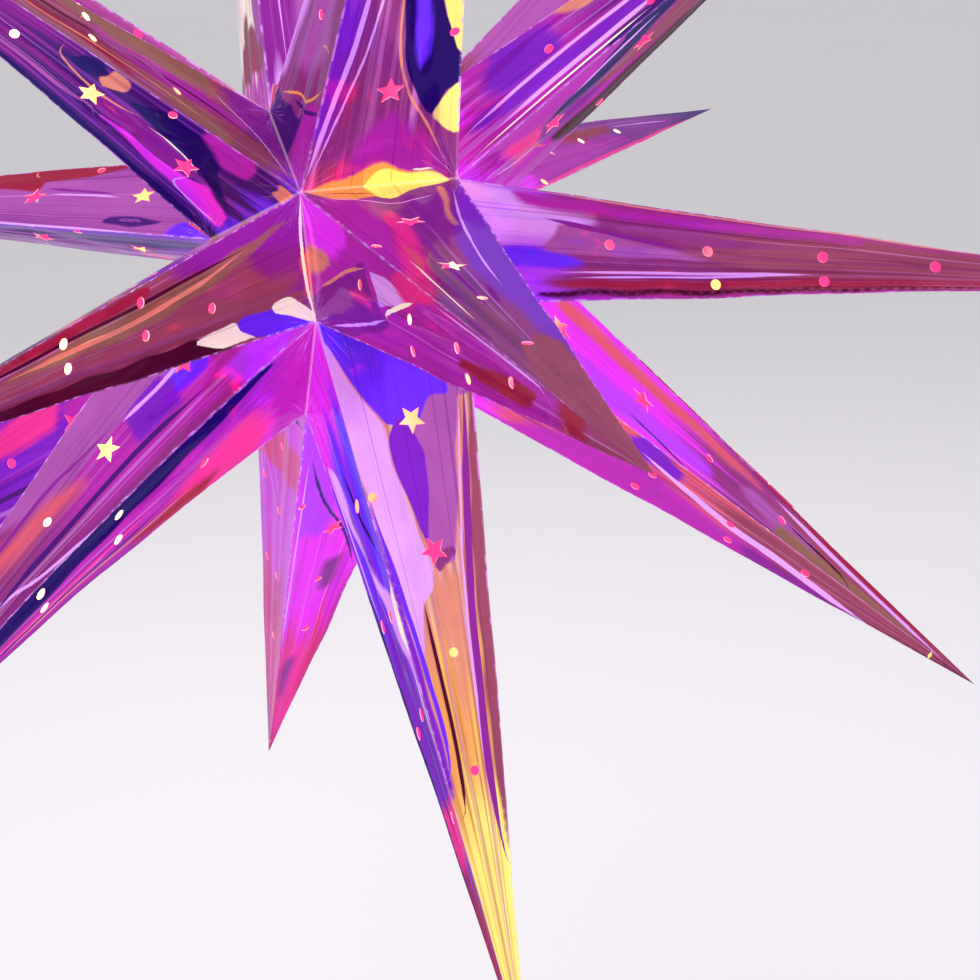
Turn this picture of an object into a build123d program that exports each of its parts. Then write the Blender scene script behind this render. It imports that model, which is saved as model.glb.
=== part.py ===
from build123d import *
from math import cos, pi, radians, sin
import os

# Moravian star pendant: a fold-flat lantern of eighteen hollow foil-card spikes in three rows of
# six, closed along one seam at the top and hung on its lampholder by the cord.
#
# X runs along the star's long axis, Z is up, and the front of the star faces -Y.
# The origin is the mouth of the cord's bore, on top of the cord grip. Sizes are millimetres.

# ---- Driving dimensions: the star ----
COLUMNS = 6                # spikes round the axis, in each of the three rows
MIDDLE_TIP_REACH = 350.0   # from the axis out to a tip of the middle row
SIDE_TIP_REACH = 228.0     # from the axis out to a tip of a side row
SIDE_TIP_OUT = 256.0       # from the middle of the star along the axis to a tip of a side row
CORE_RADIUS = 50.0         # from the axis to the folds between the columns
CORE_HALF_LENGTH = 32.5    # half the length of a middle spike's mouth
POLE_OUT = 59.5            # from the middle of the star to the point where six side spikes meet
CARD = 0.4                 # thickness of the foil card
LIP = 6.0                  # depth of the glued lip behind the folds between the columns
TIP_BLUNT = 2.5            # what the folded card is short of a true point

# How far a soft tip stands off its true place: round the axis, and along it to the right
TIP_LEANS = {
    ("left", 2): (17, 4), ("left", 4): (4, -4), ("left", 5): (-10, 0), ("left", 6): (4, 18),
    ("middle", 1): (3, 5), ("middle", 2): (5, -7), ("middle", 3): (-2, 9),
    ("middle", 4): (-5, -7), ("middle", 6): (0, -6),
    ("right", 1): (-12, -14), ("right", 3): (20, -10), ("right", 4): (7, 5), ("right", 5): (-7, 5),
}

# ---- Driving dimensions: the cut-outs that the light shines through ----
STAR_SPAN = 12.0           # across the points of a five-pointed star
STAR_WAIST = 0.45          # a star's inner radius over its outer one
DOT_RADIUS = 2.0
DOT_SIDES = 8              # sides of a punched dot, few because there are so many of them
# How far up its face each cut-out stands, and how far off the face's middle, over half its width there
STAR_PLACES = ((0.33, 0.0),)
DOT_PLACES = ((0.235, 0.7), (0.46, 0.0), (0.61, 0.0))

# ---- Driving dimensions: the closing seam ----
RIB = 11.0                 # height of the closing rib above the fold
RIB_SHY = 2.0              # how far the rib's ends stop short of the folds that it meets
CLIP_WALL = 0.8
CLIP_LENGTH = 14.0
CLIP_BITE = 6.0            # how much of the rib a clip holds
CLIP_FIT = 0.1             # clearance between a clip and the card
CLIP_FROM_CORD = 18.0      # from the cord to the middle of a clip on the middle row
SIDE_CLIP_SHARE = 0.5      # where along its seam the clip of a side row stands

# ---- Driving dimensions: what the star hangs on ----
NIPPLE_RADIUS = 5.0        # M10 threaded tube
NIPPLE_BORE_RADIUS = 3.9
CORD_BORE_RADIUS = 3.4     # for a round cord of up to 6.5
SWIVEL_GAP = 0.5           # between the tube and the card that turns round it
REST_GAP = 0.3             # between the lips and the plate that they rest on
PLATE_RADIUS = 21.0
PLATE_THICKNESS = 2.0
NUT_FLATS = 14.0
NUT_THICKNESS = 3.0
GRIP_RADIUS = 8.0
GRIP_TOP_RADIUS = 5.5
GRIP_LENGTH = 16.0
GRIP_SOCKET = 9.0          # depth of the grip's threaded socket
GRIP_ABOVE_FOLD = 12.0     # from the seam's fold up to the grip's foot
GRIP_EDGE = 0.8
GRIP_SCREW_RADIUS = 1.5
GRIP_SCREW_LENGTH = 3.5
GRIP_SCREW_SHY = 0.3       # from the cord's bore to the screw's end
SCREW_SLOT = 0.6
SCREW_SLOT_DEPTH = 0.7
PLATE_EDGE = 0.6

# ---- Driving dimensions: the lampholder ----
HOLDER_RADIUS = 14.0
HOLDER_WALL = 1.6
HOLDER_CAP_TOP_RADIUS = 8.0
HOLDER_CAP_LENGTH = 13.0
HOLDER_CAP_SOCKET = 5.0    # how far the tube screws into the cap
HOLDER_BODY_LENGTH = 24.0
HOLDER_LAP = 4.0           # how far the body's neck goes up into the cap
BODY_EDGE = 0.5
INSERT_TOP = 8.0           # thickness of the insert's top disc
INSERT_SLEEVE_WALL = 1.8
SHELL_RADIUS = 7.3         # inside the brass thread shell, for a 14 mm lamp cap
SHELL_WALL = 0.4
SHELL_LENGTH = 15.0
CONTACT_THICKNESS = 0.5
CONTACT_WIDTH = 4.0
CONTACT_LENGTH = 10.0
CONTACT_SPRING = 2.6       # how far the middle contact stands down from the insert
TERMINAL_RADIUS = 1.8
TERMINAL_HEAD_RADIUS = 2.6
TERMINAL_HEAD = 1.6
TERMINAL_DEPTH = 5.0
TERMINAL_FROM_MIDDLE = 7.0

# ---- Driving dimensions: the lamp ----
LAMP_SEAT_GAP = 0.3        # between the lamp's tip and the middle contact
LAMP_TIP_RADIUS = 2.4
LAMP_TIP_HEIGHT = 1.2
LAMP_TIP_EDGE = 0.7
LAMP_END_RADIUS = 4.6
LAMP_END_LENGTH = 2.5
LAMP_CAP_RADIUS = 6.95
LAMP_CAP_WALL = 0.4
LAMP_CAP_LENGTH = 14.0
GLASS_RADIUS = 11.0
GLASS_NECK_LENGTH = 6.0
GLASS_LENGTH = 31.0
GLASS_EDGE = 4.0           # the slope round the foot of the glass
GLASS_WALL = 0.8
STEM_RADIUS = 1.6
STEM_COLLAR = 0.8
LED_COUNT = 4
LED_RADIUS = 0.6
LED_CIRCLE_RADIUS = 4.0
LED_LENGTH = 15.0

# ---- Levels worked out from the driving dimensions ----
GRIP_FOOT = -GRIP_LENGTH
FOLD = GRIP_FOOT - GRIP_ABOVE_FOLD             # the seam's fold on top of the core
CENTRE = FOLD - CORE_RADIUS                    # the middle of the star
NIPPLE_TOP = GRIP_FOOT + GRIP_SOCKET
PLATE_TOP = FOLD - LIP - REST_GAP
NUT_TOP = PLATE_TOP - PLATE_THICKNESS
CAP_TOP = NUT_TOP - NUT_THICKNESS
CAP_FOOT = CAP_TOP - HOLDER_CAP_LENGTH
BODY_FOOT = CAP_FOOT - HOLDER_BODY_LENGTH
NECK_TOP = CAP_FOOT + HOLDER_LAP
TUBE_FOOT = CAP_TOP - HOLDER_CAP_SOCKET        # the threaded tube's lower end
NECK_RADIUS = HOLDER_RADIUS - HOLDER_WALL
NECK_BORE_RADIUS = NECK_RADIUS - HOLDER_WALL
INSERT_FOOT = NECK_TOP - INSERT_TOP            # underside of the insert's top disc
SHELL_OUTER_RADIUS = SHELL_RADIUS + SHELL_WALL
LAMP_TOP = INSERT_FOOT - CONTACT_SPRING - LAMP_SEAT_GAP
LAMP_END_TOP = LAMP_TOP - LAMP_TIP_HEIGHT
LAMP_CAP_TOP = LAMP_END_TOP - LAMP_END_LENGTH
LAMP_CAP_FOOT = LAMP_CAP_TOP - LAMP_CAP_LENGTH
GLASS_FOOT = LAMP_CAP_FOOT - GLASS_LENGTH
LED_TOP = LAMP_CAP_FOOT - GLASS_NECK_LENGTH
LED_FOOT = LED_TOP - LED_LENGTH
LIP_SHARE = 1 - LIP / CORE_RADIUS              # the lips end where the core is this much smaller

ROWS = {"left": -1, "middle": 0, "right": 1}
EPS = 1.0                  # how far a cutting tool runs past what it cuts

os.makedirs("parts", exist_ok=True)


def write(piece, name):
    """Labels a finished piece and writes it under its own name."""
    piece.part.label = name
    export_step(piece.part, f"parts/{name}.step")


def round_axis(degrees, reach, along):
    """A point at an angle round the star's axis, counted from the top over the front."""
    return Vector(along, -reach * sin(radians(degrees)), CENTRE + reach * cos(radians(degrees)))


def spike_corners(row, column):
    """The corners of a spike's mouth, anticlockwise seen from outside, and its tip."""
    step = 360 / COLUMNS
    middle = (column - 0.5) * step
    before, after = middle - step / 2, middle + step / 2
    side = ROWS[row]
    if side == 0:
        corners = [
            round_axis(before, CORE_RADIUS, -CORE_HALF_LENGTH),
            round_axis(after, CORE_RADIUS, -CORE_HALF_LENGTH),
            round_axis(after, CORE_RADIUS, CORE_HALF_LENGTH),
            round_axis(before, CORE_RADIUS, CORE_HALF_LENGTH),
        ]
        reach, out = MIDDLE_TIP_REACH, 0
    else:
        corners = [
            round_axis(before, CORE_RADIUS, side * CORE_HALF_LENGTH),
            round_axis(after, CORE_RADIUS, side * CORE_HALF_LENGTH),
            round_axis(0, 0, side * POLE_OUT),
        ]
        corners = corners if side > 0 else corners[::-1]
        reach, out = SIDE_TIP_REACH, side * SIDE_TIP_OUT
    round_lean, right_lean = TIP_LEANS.get((row, column), (0, 0))
    lean_angle = round_lean / reach * 180 / pi
    return corners, round_axis(middle + lean_angle, reach, out + right_lean)


def face_plane(start, end, tip):
    """The outer plane of the face between a mouth's edge and the tip, with Y up the face."""
    return Plane(origin=(start + end) / 2, x_dir=end - start, z_dir=(end - start).cross(tip - start))


def wedge(planes, size):
    """The solid that lies behind every one of the planes."""
    with BuildPart(Plane(origin=(0, 0, CENTRE))) as block:
        Box(size, size, size)
        for plane in planes:
            split(bisect_by=plane, keep=Keep.BOTTOM)
    return block.part


def star_points():
    """The ten corners of a five-pointed star cut-out, one point up the face."""
    points = []
    for corner in range(10):
        radius = STAR_SPAN / 2 * (1 if corner % 2 == 0 else STAR_WAIST)
        turn = radians(90 + 36 * corner)
        points.append((radius * cos(turn), radius * sin(turn)))
    return points


def cut_places(plane, start, end, tip, places, side):
    """The places of a face's cut-outs in its own plane, those off its middle on the given side."""
    top = plane.to_local_coords(tip)
    half_width = (end - start).length / 2
    return [
        (height * top.X + side * offset * half_width * (1 - height), height * top.Y)
        for height, offset in places
    ]


def rib_outline(start, end):
    """The closing rib's outline above the fold from start to end, in the plane of the seam."""
    along = (end - start).normalized()
    up = seam_up(start, end)
    return [start, end, end + up * RIB - along * RIB_SHY, start + up * RIB + along * RIB_SHY]


def seam_up(start, end):
    """The way that the closing rib stands off a fold in the seam's plane."""
    up = Vector(0, 1, 0).cross((end - start).normalized())
    away = (start + end) / 2 - Vector(0, 0, CENTRE)
    return up if up.dot(away) > 0 else -up


# ---- The eighteen spikes ----
# Each is a pyramid of folded card, open at its mouth, with a glued lip behind each fold of the
# core. Lips of neighbours lie face to face on planes through the middle of the star.
SEAM_COLUMNS = {1: -1, COLUMNS: 1}             # the columns beside the seam, and their side of it
for row in ROWS:
    for column in range(1, COLUMNS + 1):
        corners, tip = spike_corners(row, column)
        middle = Vector(0, 0, CENTRE)
        pairs = list(zip(corners, corners[1:] + corners[:1]))
        mouth = sum(corners, Vector(0, 0, 0)) / len(corners)
        faces = [face_plane(start, end, tip) for start, end in pairs]
        lips = [Plane(origin=middle, z_dir=(start - middle).cross(end - middle) * -1) for start, end in pairs]
        mouth_normal = (corners[1] - corners[0]).cross(corners[2] - corners[1])
        lip_end = Plane(origin=middle + (corners[0] - middle) * LIP_SHARE, z_dir=mouth_normal * -1)
        blunt = Plane(origin=tip - (tip - mouth).normalized() * TIP_BLUNT, z_dir=tip - mouth)
        inner = [plane.offset(-CARD) for plane in faces + lips]
        size = 4 * MIDDLE_TIP_REACH
        hollow = wedge(inner + [lip_end.offset(EPS), blunt.offset(-CARD)], size)
        side = SEAM_COLUMNS.get(column)

        with BuildPart() as spike:
            add(wedge(faces + lips + [lip_end, blunt], size))
            add(hollow, mode=Mode.SUBTRACT)
            for number, (start, end) in enumerate(pairs):
                dot_side = 1 if number % 2 == 0 else -1
                plane = faces[number]
                with BuildSketch(plane):
                    with Locations(*cut_places(plane, start, end, tip, STAR_PLACES, dot_side)):
                        Polygon(*star_points(), align=None)
                    with Locations(*cut_places(plane, start, end, tip, DOT_PLACES, dot_side)):
                        RegularPolygon(DOT_RADIUS, DOT_SIDES)
                extrude(amount=-2 * CARD, mode=Mode.SUBTRACT)
            if side:
                for start, end in pairs:
                    if abs(start.Y) + abs(end.Y) > CARD:
                        continue
                    seam = Plane(origin=start, x_dir=end - start, z_dir=(0, 1, 0))
                    outline = [seam.to_local_coords(point) for point in rib_outline(start, end)]
                    with BuildSketch(seam):
                        Polygon(*[(point.X, point.Y) for point in outline], align=None)
                    extrude(amount=side * CARD)
            if side and row == "middle":
                with BuildSketch(Plane.XY.offset(FOLD - LIP - EPS)):
                    Circle(NIPPLE_RADIUS + SWIVEL_GAP)
                extrude(amount=LIP + GRIP_ABOVE_FOLD + EPS, mode=Mode.SUBTRACT)
        write(spike, f"{row}_spike_{column}")

# ---- The clips that hold the closing rib's two leaves together ----
SEAM_LEFT = round_axis(0, CORE_RADIUS, -CORE_HALF_LENGTH)
SEAM_RIGHT = round_axis(0, CORE_RADIUS, CORE_HALF_LENGTH)
CLIP_SEATS = {
    "left": (round_axis(0, 0, -POLE_OUT), SEAM_LEFT, SIDE_CLIP_SHARE),
    "middle_left": (SEAM_LEFT, SEAM_RIGHT, 0.5 - CLIP_FROM_CORD / (2 * CORE_HALF_LENGTH)),
    "middle_right": (SEAM_LEFT, SEAM_RIGHT, 0.5 + CLIP_FROM_CORD / (2 * CORE_HALF_LENGTH)),
    "right": (SEAM_RIGHT, round_axis(0, 0, POLE_OUT), SIDE_CLIP_SHARE),
}
CLIP_SLOT = CARD + CLIP_FIT                    # half the width of a clip's slot
CLIP_TOP = RIB + CLIP_FIT + CLIP_WALL
for place, (start, end, share) in CLIP_SEATS.items():
    seat = start + (end - start) * share
    section = Plane(origin=seat, x_dir=(0, 1, 0), z_dir=end - start)
    way = 1 if section.y_dir.dot(seam_up(start, end)) > 0 else -1
    with BuildPart() as seam_clip:
        with BuildSketch(section):
            with Locations((0, way * (CLIP_TOP + RIB - CLIP_BITE) / 2)):
                Rectangle(2 * (CLIP_SLOT + CLIP_WALL), CLIP_TOP - RIB + CLIP_BITE)
            with Locations((0, way * (RIB + CLIP_FIT - CLIP_BITE / 2 - EPS / 2))):
                Rectangle(2 * CLIP_SLOT, CLIP_BITE + CLIP_FIT + EPS, mode=Mode.SUBTRACT)
        extrude(amount=CLIP_LENGTH / 2, both=True)
    write(seam_clip, f"seam_clip_{place}")

# ---- What the star hangs on ----
with BuildPart() as cord_grip:
    with BuildSketch(Plane.XZ):
        Polygon(
            (CORD_BORE_RADIUS, 0), (GRIP_TOP_RADIUS, 0), (GRIP_RADIUS, GRIP_FOOT), (NIPPLE_RADIUS, GRIP_FOOT),
            (NIPPLE_RADIUS, NIPPLE_TOP), (CORD_BORE_RADIUS, NIPPLE_TOP), align=None,
        )
    revolve(axis=Axis.Z)
    chamfer(cord_grip.edges().group_by(Axis.Z)[-1].sort_by(SortBy.RADIUS)[-1], GRIP_EDGE)
    with BuildSketch(Plane.XZ.offset(CORD_BORE_RADIUS / 2)):
        with Locations((0, NIPPLE_TOP / 2)):
            Circle(GRIP_SCREW_RADIUS)
    extrude(amount=GRIP_RADIUS, mode=Mode.SUBTRACT)
write(cord_grip, "cord_grip")

GRIP_SCREW_START = CORD_BORE_RADIUS + GRIP_SCREW_SHY
with BuildPart() as grip_screw:
    with BuildSketch(Plane.XZ.offset(GRIP_SCREW_START)):
        with Locations((0, NIPPLE_TOP / 2)):
            Circle(GRIP_SCREW_RADIUS)
    extrude(amount=GRIP_SCREW_LENGTH)
    with BuildSketch(Plane.XZ.offset(GRIP_SCREW_START + GRIP_SCREW_LENGTH)):
        with Locations((0, NIPPLE_TOP / 2)):
            Rectangle(SCREW_SLOT, 4 * GRIP_SCREW_RADIUS)
    extrude(amount=-SCREW_SLOT_DEPTH, mode=Mode.SUBTRACT)
write(grip_screw, "grip_screw")

with BuildPart() as threaded_tube:
    with BuildSketch(Plane.XY.offset(TUBE_FOOT)):
        Circle(NIPPLE_RADIUS)
        Circle(NIPPLE_BORE_RADIUS, mode=Mode.SUBTRACT)
    extrude(amount=NIPPLE_TOP - TUBE_FOOT)
write(threaded_tube, "threaded_tube")

with BuildPart() as carrier_plate:
    with BuildSketch(Plane.XY.offset(NUT_TOP)):
        Circle(PLATE_RADIUS)
        Circle(NIPPLE_RADIUS, mode=Mode.SUBTRACT)
    extrude(amount=PLATE_THICKNESS)
    chamfer(carrier_plate.edges().filter_by(GeomType.CIRCLE).sort_by(SortBy.RADIUS)[-2:], PLATE_EDGE)
write(carrier_plate, "carrier_plate")

with BuildPart() as lock_nut:
    with BuildSketch(Plane.XY.offset(CAP_TOP)):
        RegularPolygon(NUT_FLATS / 2, 6, major_radius=False)
        Circle(NIPPLE_RADIUS, mode=Mode.SUBTRACT)
    extrude(amount=NUT_THICKNESS)
write(lock_nut, "lock_nut")

# ---- The lampholder ----
with BuildPart() as holder_cap:
    with BuildSketch(Plane.XZ):
        Polygon(
            (NIPPLE_RADIUS, CAP_TOP), (NIPPLE_RADIUS, TUBE_FOOT), (NECK_RADIUS, NECK_TOP),
            (NECK_RADIUS, CAP_FOOT), (HOLDER_RADIUS, CAP_FOOT), (HOLDER_RADIUS, NECK_TOP),
            (HOLDER_CAP_TOP_RADIUS, CAP_TOP), align=None,
        )
    revolve(axis=Axis.Z)
write(holder_cap, "holder_cap")

with BuildPart() as holder_body:
    with BuildSketch(Plane.XZ):
        Polygon(
            (NECK_BORE_RADIUS, NECK_TOP), (NECK_RADIUS, NECK_TOP), (NECK_RADIUS, CAP_FOOT),
            (HOLDER_RADIUS, CAP_FOOT), (HOLDER_RADIUS, BODY_FOOT), (NECK_BORE_RADIUS, BODY_FOOT), align=None,
        )
    revolve(axis=Axis.Z)
    chamfer(holder_body.edges().group_by(Axis.Z)[0].sort_by(SortBy.RADIUS)[-1], BODY_EDGE)
write(holder_body, "holder_body")

SLEEVE_RADIUS = SHELL_OUTER_RADIUS + INSERT_SLEEVE_WALL
with BuildPart() as contact_insert:
    with BuildSketch(Plane.XZ):
        Polygon(
            (0, NECK_TOP), (NECK_BORE_RADIUS, NECK_TOP), (NECK_BORE_RADIUS, INSERT_FOOT),
            (SLEEVE_RADIUS, INSERT_FOOT), (SLEEVE_RADIUS, INSERT_FOOT - SHELL_LENGTH),
            (SHELL_OUTER_RADIUS, INSERT_FOOT - SHELL_LENGTH), (SHELL_OUTER_RADIUS, INSERT_FOOT),
            (0, INSERT_FOOT), align=None,
        )
    revolve(axis=Axis.Z)
    with BuildSketch(Plane.XY.offset(NECK_TOP)):
        with GridLocations(2 * TERMINAL_FROM_MIDDLE, 1, 2, 1):
            Circle(TERMINAL_RADIUS)
    extrude(amount=-TERMINAL_DEPTH, mode=Mode.SUBTRACT)
write(contact_insert, "contact_insert")

with BuildPart() as terminal_screws:
    with BuildSketch(Plane.XY.offset(NECK_TOP)):
        with GridLocations(2 * TERMINAL_FROM_MIDDLE, 1, 2, 1):
            Circle(TERMINAL_RADIUS)
    extrude(amount=-TERMINAL_DEPTH)
    with BuildSketch(Plane.XY.offset(NECK_TOP)):
        with GridLocations(2 * TERMINAL_FROM_MIDDLE, 1, 2, 1):
            Circle(TERMINAL_HEAD_RADIUS)
    extrude(amount=TERMINAL_HEAD)
    with BuildSketch(Plane.XY.offset(NECK_TOP + TERMINAL_HEAD)):
        with GridLocations(2 * TERMINAL_FROM_MIDDLE, 1, 2, 1):
            Rectangle(3 * TERMINAL_HEAD_RADIUS, SCREW_SLOT)
    extrude(amount=-SCREW_SLOT_DEPTH, mode=Mode.SUBTRACT)
write(terminal_screws, "terminal_screws")

with BuildPart() as thread_shell:
    with BuildSketch(Plane.XY.offset(INSERT_FOOT - SHELL_LENGTH)):
        Circle(SHELL_OUTER_RADIUS)
        Circle(SHELL_RADIUS, mode=Mode.SUBTRACT)
    extrude(amount=SHELL_LENGTH)
write(thread_shell, "thread_shell")

# A strip that starts flat on the insert and springs down in an arch to meet the lamp.
with BuildPart() as middle_contact:
    with BuildSketch(Plane.XZ):
        with BuildLine():
            foot = (-CONTACT_LENGTH / 2, INSERT_FOOT)
            crown = (0, INSERT_FOOT - CONTACT_SPRING)
            ThreePointArc(foot, crown, (CONTACT_LENGTH / 2, INSERT_FOOT))
            Line((CONTACT_LENGTH / 2, INSERT_FOOT), (CONTACT_LENGTH / 2 - 2 * CONTACT_THICKNESS, INSERT_FOOT))
            ThreePointArc(
                (CONTACT_LENGTH / 2 - 2 * CONTACT_THICKNESS, INSERT_FOOT),
                (0, INSERT_FOOT - CONTACT_SPRING + CONTACT_THICKNESS),
                (2 * CONTACT_THICKNESS - CONTACT_LENGTH / 2, INSERT_FOOT),
            )
            Line((2 * CONTACT_THICKNESS - CONTACT_LENGTH / 2, INSERT_FOOT), foot)
        make_face()
    extrude(amount=CONTACT_WIDTH / 2, both=True)
write(middle_contact, "middle_contact")

# ---- The lamp: a small screw-in lamp with a ring of glowing sticks ----
with BuildPart() as lamp_tip:
    with BuildSketch(Plane.XY.offset(LAMP_END_TOP)):
        Circle(LAMP_TIP_RADIUS)
    extrude(amount=LAMP_TIP_HEIGHT)
    chamfer(lamp_tip.edges().group_by(Axis.Z)[-1], LAMP_TIP_EDGE)
write(lamp_tip, "lamp_tip")

with BuildPart() as lamp_insulator:
    with BuildSketch(Plane.XZ):
        Polygon(
            (0, LAMP_CAP_TOP), (LAMP_CAP_RADIUS, LAMP_CAP_TOP), (LAMP_END_RADIUS, LAMP_END_TOP),
            (0, LAMP_END_TOP), align=None,
        )
    revolve(axis=Axis.Z)
write(lamp_insulator, "lamp_insulator")

with BuildPart() as lamp_cap:
    with BuildSketch(Plane.XY.offset(LAMP_CAP_FOOT)):
        Circle(LAMP_CAP_RADIUS)
        Circle(LAMP_CAP_RADIUS - LAMP_CAP_WALL, mode=Mode.SUBTRACT)
    extrude(amount=LAMP_CAP_LENGTH)
write(lamp_cap, "lamp_cap")

# The glass is a neck that widens to a tube with a sloped foot, with the same wall all round.
with BuildPart() as lamp_glass:
    with BuildSketch(Plane.XZ):
        Polygon(
            (0, LAMP_CAP_FOOT), (LAMP_CAP_RADIUS, LAMP_CAP_FOOT), (GLASS_RADIUS, LED_TOP),
            (GLASS_RADIUS, GLASS_FOOT + GLASS_EDGE), (GLASS_RADIUS - GLASS_EDGE, GLASS_FOOT),
            (0, GLASS_FOOT), align=None,
        )
    revolve(axis=Axis.Z)
    offset(amount=-GLASS_WALL, openings=lamp_glass.faces().sort_by(Axis.Z)[-1])
write(lamp_glass, "lamp_glass")

# Two collars on the stem hold the sticks between them.
with BuildPart() as lamp_stem:
    with BuildSketch(Plane.XY.offset(LAMP_CAP_TOP)):
        Circle(STEM_RADIUS)
    extrude(amount=LED_FOOT - STEM_COLLAR - LAMP_CAP_TOP)
    with BuildSketch(Plane.XY.offset(LED_TOP), Plane.XY.offset(LED_FOOT - STEM_COLLAR)):
        Circle(LED_CIRCLE_RADIUS + LED_RADIUS)
    extrude(amount=STEM_COLLAR)
write(lamp_stem, "lamp_stem")

with BuildPart() as light_sticks:
    with BuildSketch(Plane.XY.offset(LED_FOOT)):
        with PolarLocations(LED_CIRCLE_RADIUS, LED_COUNT):
            Circle(LED_RADIUS)
    extrude(amount=LED_LENGTH)
write(light_sticks, "light_sticks")
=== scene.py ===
from math import cos, pi, radians, sin

import bpy
import numpy as np
from bpy.props import FloatProperty, FloatVectorProperty, IntProperty, PointerProperty
from mathutils import Matrix, Vector
from mathutils.geometry import delaunay_2d_cdt


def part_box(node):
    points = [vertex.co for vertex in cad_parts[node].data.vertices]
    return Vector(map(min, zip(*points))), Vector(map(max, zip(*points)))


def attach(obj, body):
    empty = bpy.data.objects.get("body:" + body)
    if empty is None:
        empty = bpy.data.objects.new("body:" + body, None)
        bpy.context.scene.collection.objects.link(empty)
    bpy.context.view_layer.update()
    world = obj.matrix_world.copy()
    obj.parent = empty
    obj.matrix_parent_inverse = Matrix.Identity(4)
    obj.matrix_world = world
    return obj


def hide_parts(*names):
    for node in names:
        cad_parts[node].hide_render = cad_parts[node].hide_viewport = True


# The looks of a Moravian star pendant: eighteen folded spikes of iridescent foil card round a small
# lamp, with star and dot cut-outs, closed along a seam at the top and hung on a lampholder.
# X runs along the star's long axis, Z is up, the front faces -Y, and everything is in metres.

bl_info = {
    "name": "Moravian Star Pendant",
    "version": (1, 0, 0),
    "blender": (4, 5, 0),
    "location": "View3D > Sidebar > Star Pendant",
    "description": "Builds the foil skin, fittings, lamp and studio of a fold-flat star lantern",
    "category": "Add Mesh",
}

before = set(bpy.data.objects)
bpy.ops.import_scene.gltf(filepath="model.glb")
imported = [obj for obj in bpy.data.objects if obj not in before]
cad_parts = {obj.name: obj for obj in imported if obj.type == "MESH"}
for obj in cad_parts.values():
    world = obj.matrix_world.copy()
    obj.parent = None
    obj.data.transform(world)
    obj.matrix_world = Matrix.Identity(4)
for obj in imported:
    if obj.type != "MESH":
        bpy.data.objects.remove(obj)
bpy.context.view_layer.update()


# ---- Sizes and colours that a user would change ----

def hex_colour(code):
    """A colour code as linear red, green, blue and alpha."""
    channels = [int(code[place:place + 2], 16) / 255 for place in (1, 3, 5)]
    linear = [c / 12.92 if c <= 0.04045 else ((c + 0.055) / 1.055) ** 2.4 for c in channels]
    return (*linear, 1.0)


def length(name, description, default):
    """A property that holds a length in metres."""
    return FloatProperty(
        name=name, description=description, default=default, min=0.0, unit="LENGTH", precision=5,
    )


def share(name, description, default, high=1.0):
    """A property that holds a share or a strength."""
    return FloatProperty(
        name=name, description=description, default=default, min=0.0, max=high, subtype="FACTOR",
    )


def turned_by(name, description, degrees):
    """A property that holds an angle, from its degrees."""
    return FloatProperty(name=name, description=description, default=radians(degrees), subtype="ANGLE")


def millimetres(name, description, default):
    """A property that holds a camera's length in millimetres."""
    return FloatProperty(name=name, description=description, default=default, subtype="DISTANCE_CAMERA")


def number_of(name, description, default, least):
    """A property that counts things."""
    return IntProperty(name=name, description=description, default=default, min=least)


def colour(name, description, code):
    """A property that holds a colour."""
    return FloatVectorProperty(
        name=name, description=description, default=hex_colour(code), size=4, subtype="COLOR",
        min=0.0, max=1.0,
    )


class StarSizes(bpy.types.PropertyGroup):
    """The star's shape."""
    columns: number_of("Columns", "Spikes round the axis in each row", 6, 3)
    middle_tip_reach: length("Middle Tip Reach", "From the axis out to a tip of the middle row", 0.350)
    side_tip_reach: length("Side Tip Reach", "From the axis out to a tip of a side row", 0.228)
    side_tip_out: length("Side Tip Out", "Along the axis from the middle to a tip of a side row", 0.256)
    core_radius: length("Core Radius", "From the axis to the folds between the columns", 0.050)
    core_half_length: length("Core Half Length", "Half the length of a middle spike's mouth", 0.0325)
    pole_out: length("Pole Out", "From the middle to the point where six side spikes meet", 0.0595)
    centre_drop: length("Centre Drop", "From the cord grip's top down to the middle of the star", 0.078)
    card: length("Card", "Thickness of the foil card", 0.0004)
    lip: length("Lip", "Depth of the glued lip behind each fold of the core", 0.006)
    tip_blunt: length("Blunt", "What the folded card is short of a true point", 0.0025)
    rib: length("Rib", "Height of the closing rib above its fold", 0.011)
    rib_shy: length("Rib Shy", "How far the rib's ends stop short of the folds that it meets", 0.002)
    tube_hole: length("Tube Hole", "Radius of the hole that the threaded tube passes", 0.0055)


class CutOutSizes(bpy.types.PropertyGroup):
    """The holes that the light shines through."""
    star_span: length("Star Span", "Across the points of a five-pointed star", 0.012)
    star_waist: share("Star Waist", "A star's inner radius over its outer one", 0.45)
    dot_radius: length("Dot Radius", "Radius of a punched dot", 0.002)
    dot_sides: number_of("Dot Sides", "Points round a punched dot", 16, 6)
    wander: share("Wander", "How far a cut-out stands off its place, over the face's height", 0.012)


class FoilRelief(bpy.types.PropertyGroup):
    """How the thin card bends and creases."""
    step: length("Step", "Spacing of the surface's points across a face", 0.0018)
    rows: number_of("Rows", "Rows of points from a face's mouth to its tip", 130, 8)
    bulge: length("Bulge", "How far the middle of a face bows out or in", 0.0016)
    pleat: length("Pleat", "Depth of the long waves that run to the tip", 0.00022)
    crease: length("Crease", "Depth of the sharp creases", 0.00075)
    pucker: length("Pucker", "Depth of the gathers round a face's lower corners", 0.0007)
    ridge_wander: length("Ridge Wander", "How far a folded ridge strays from a straight line", 0.0007)


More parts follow.
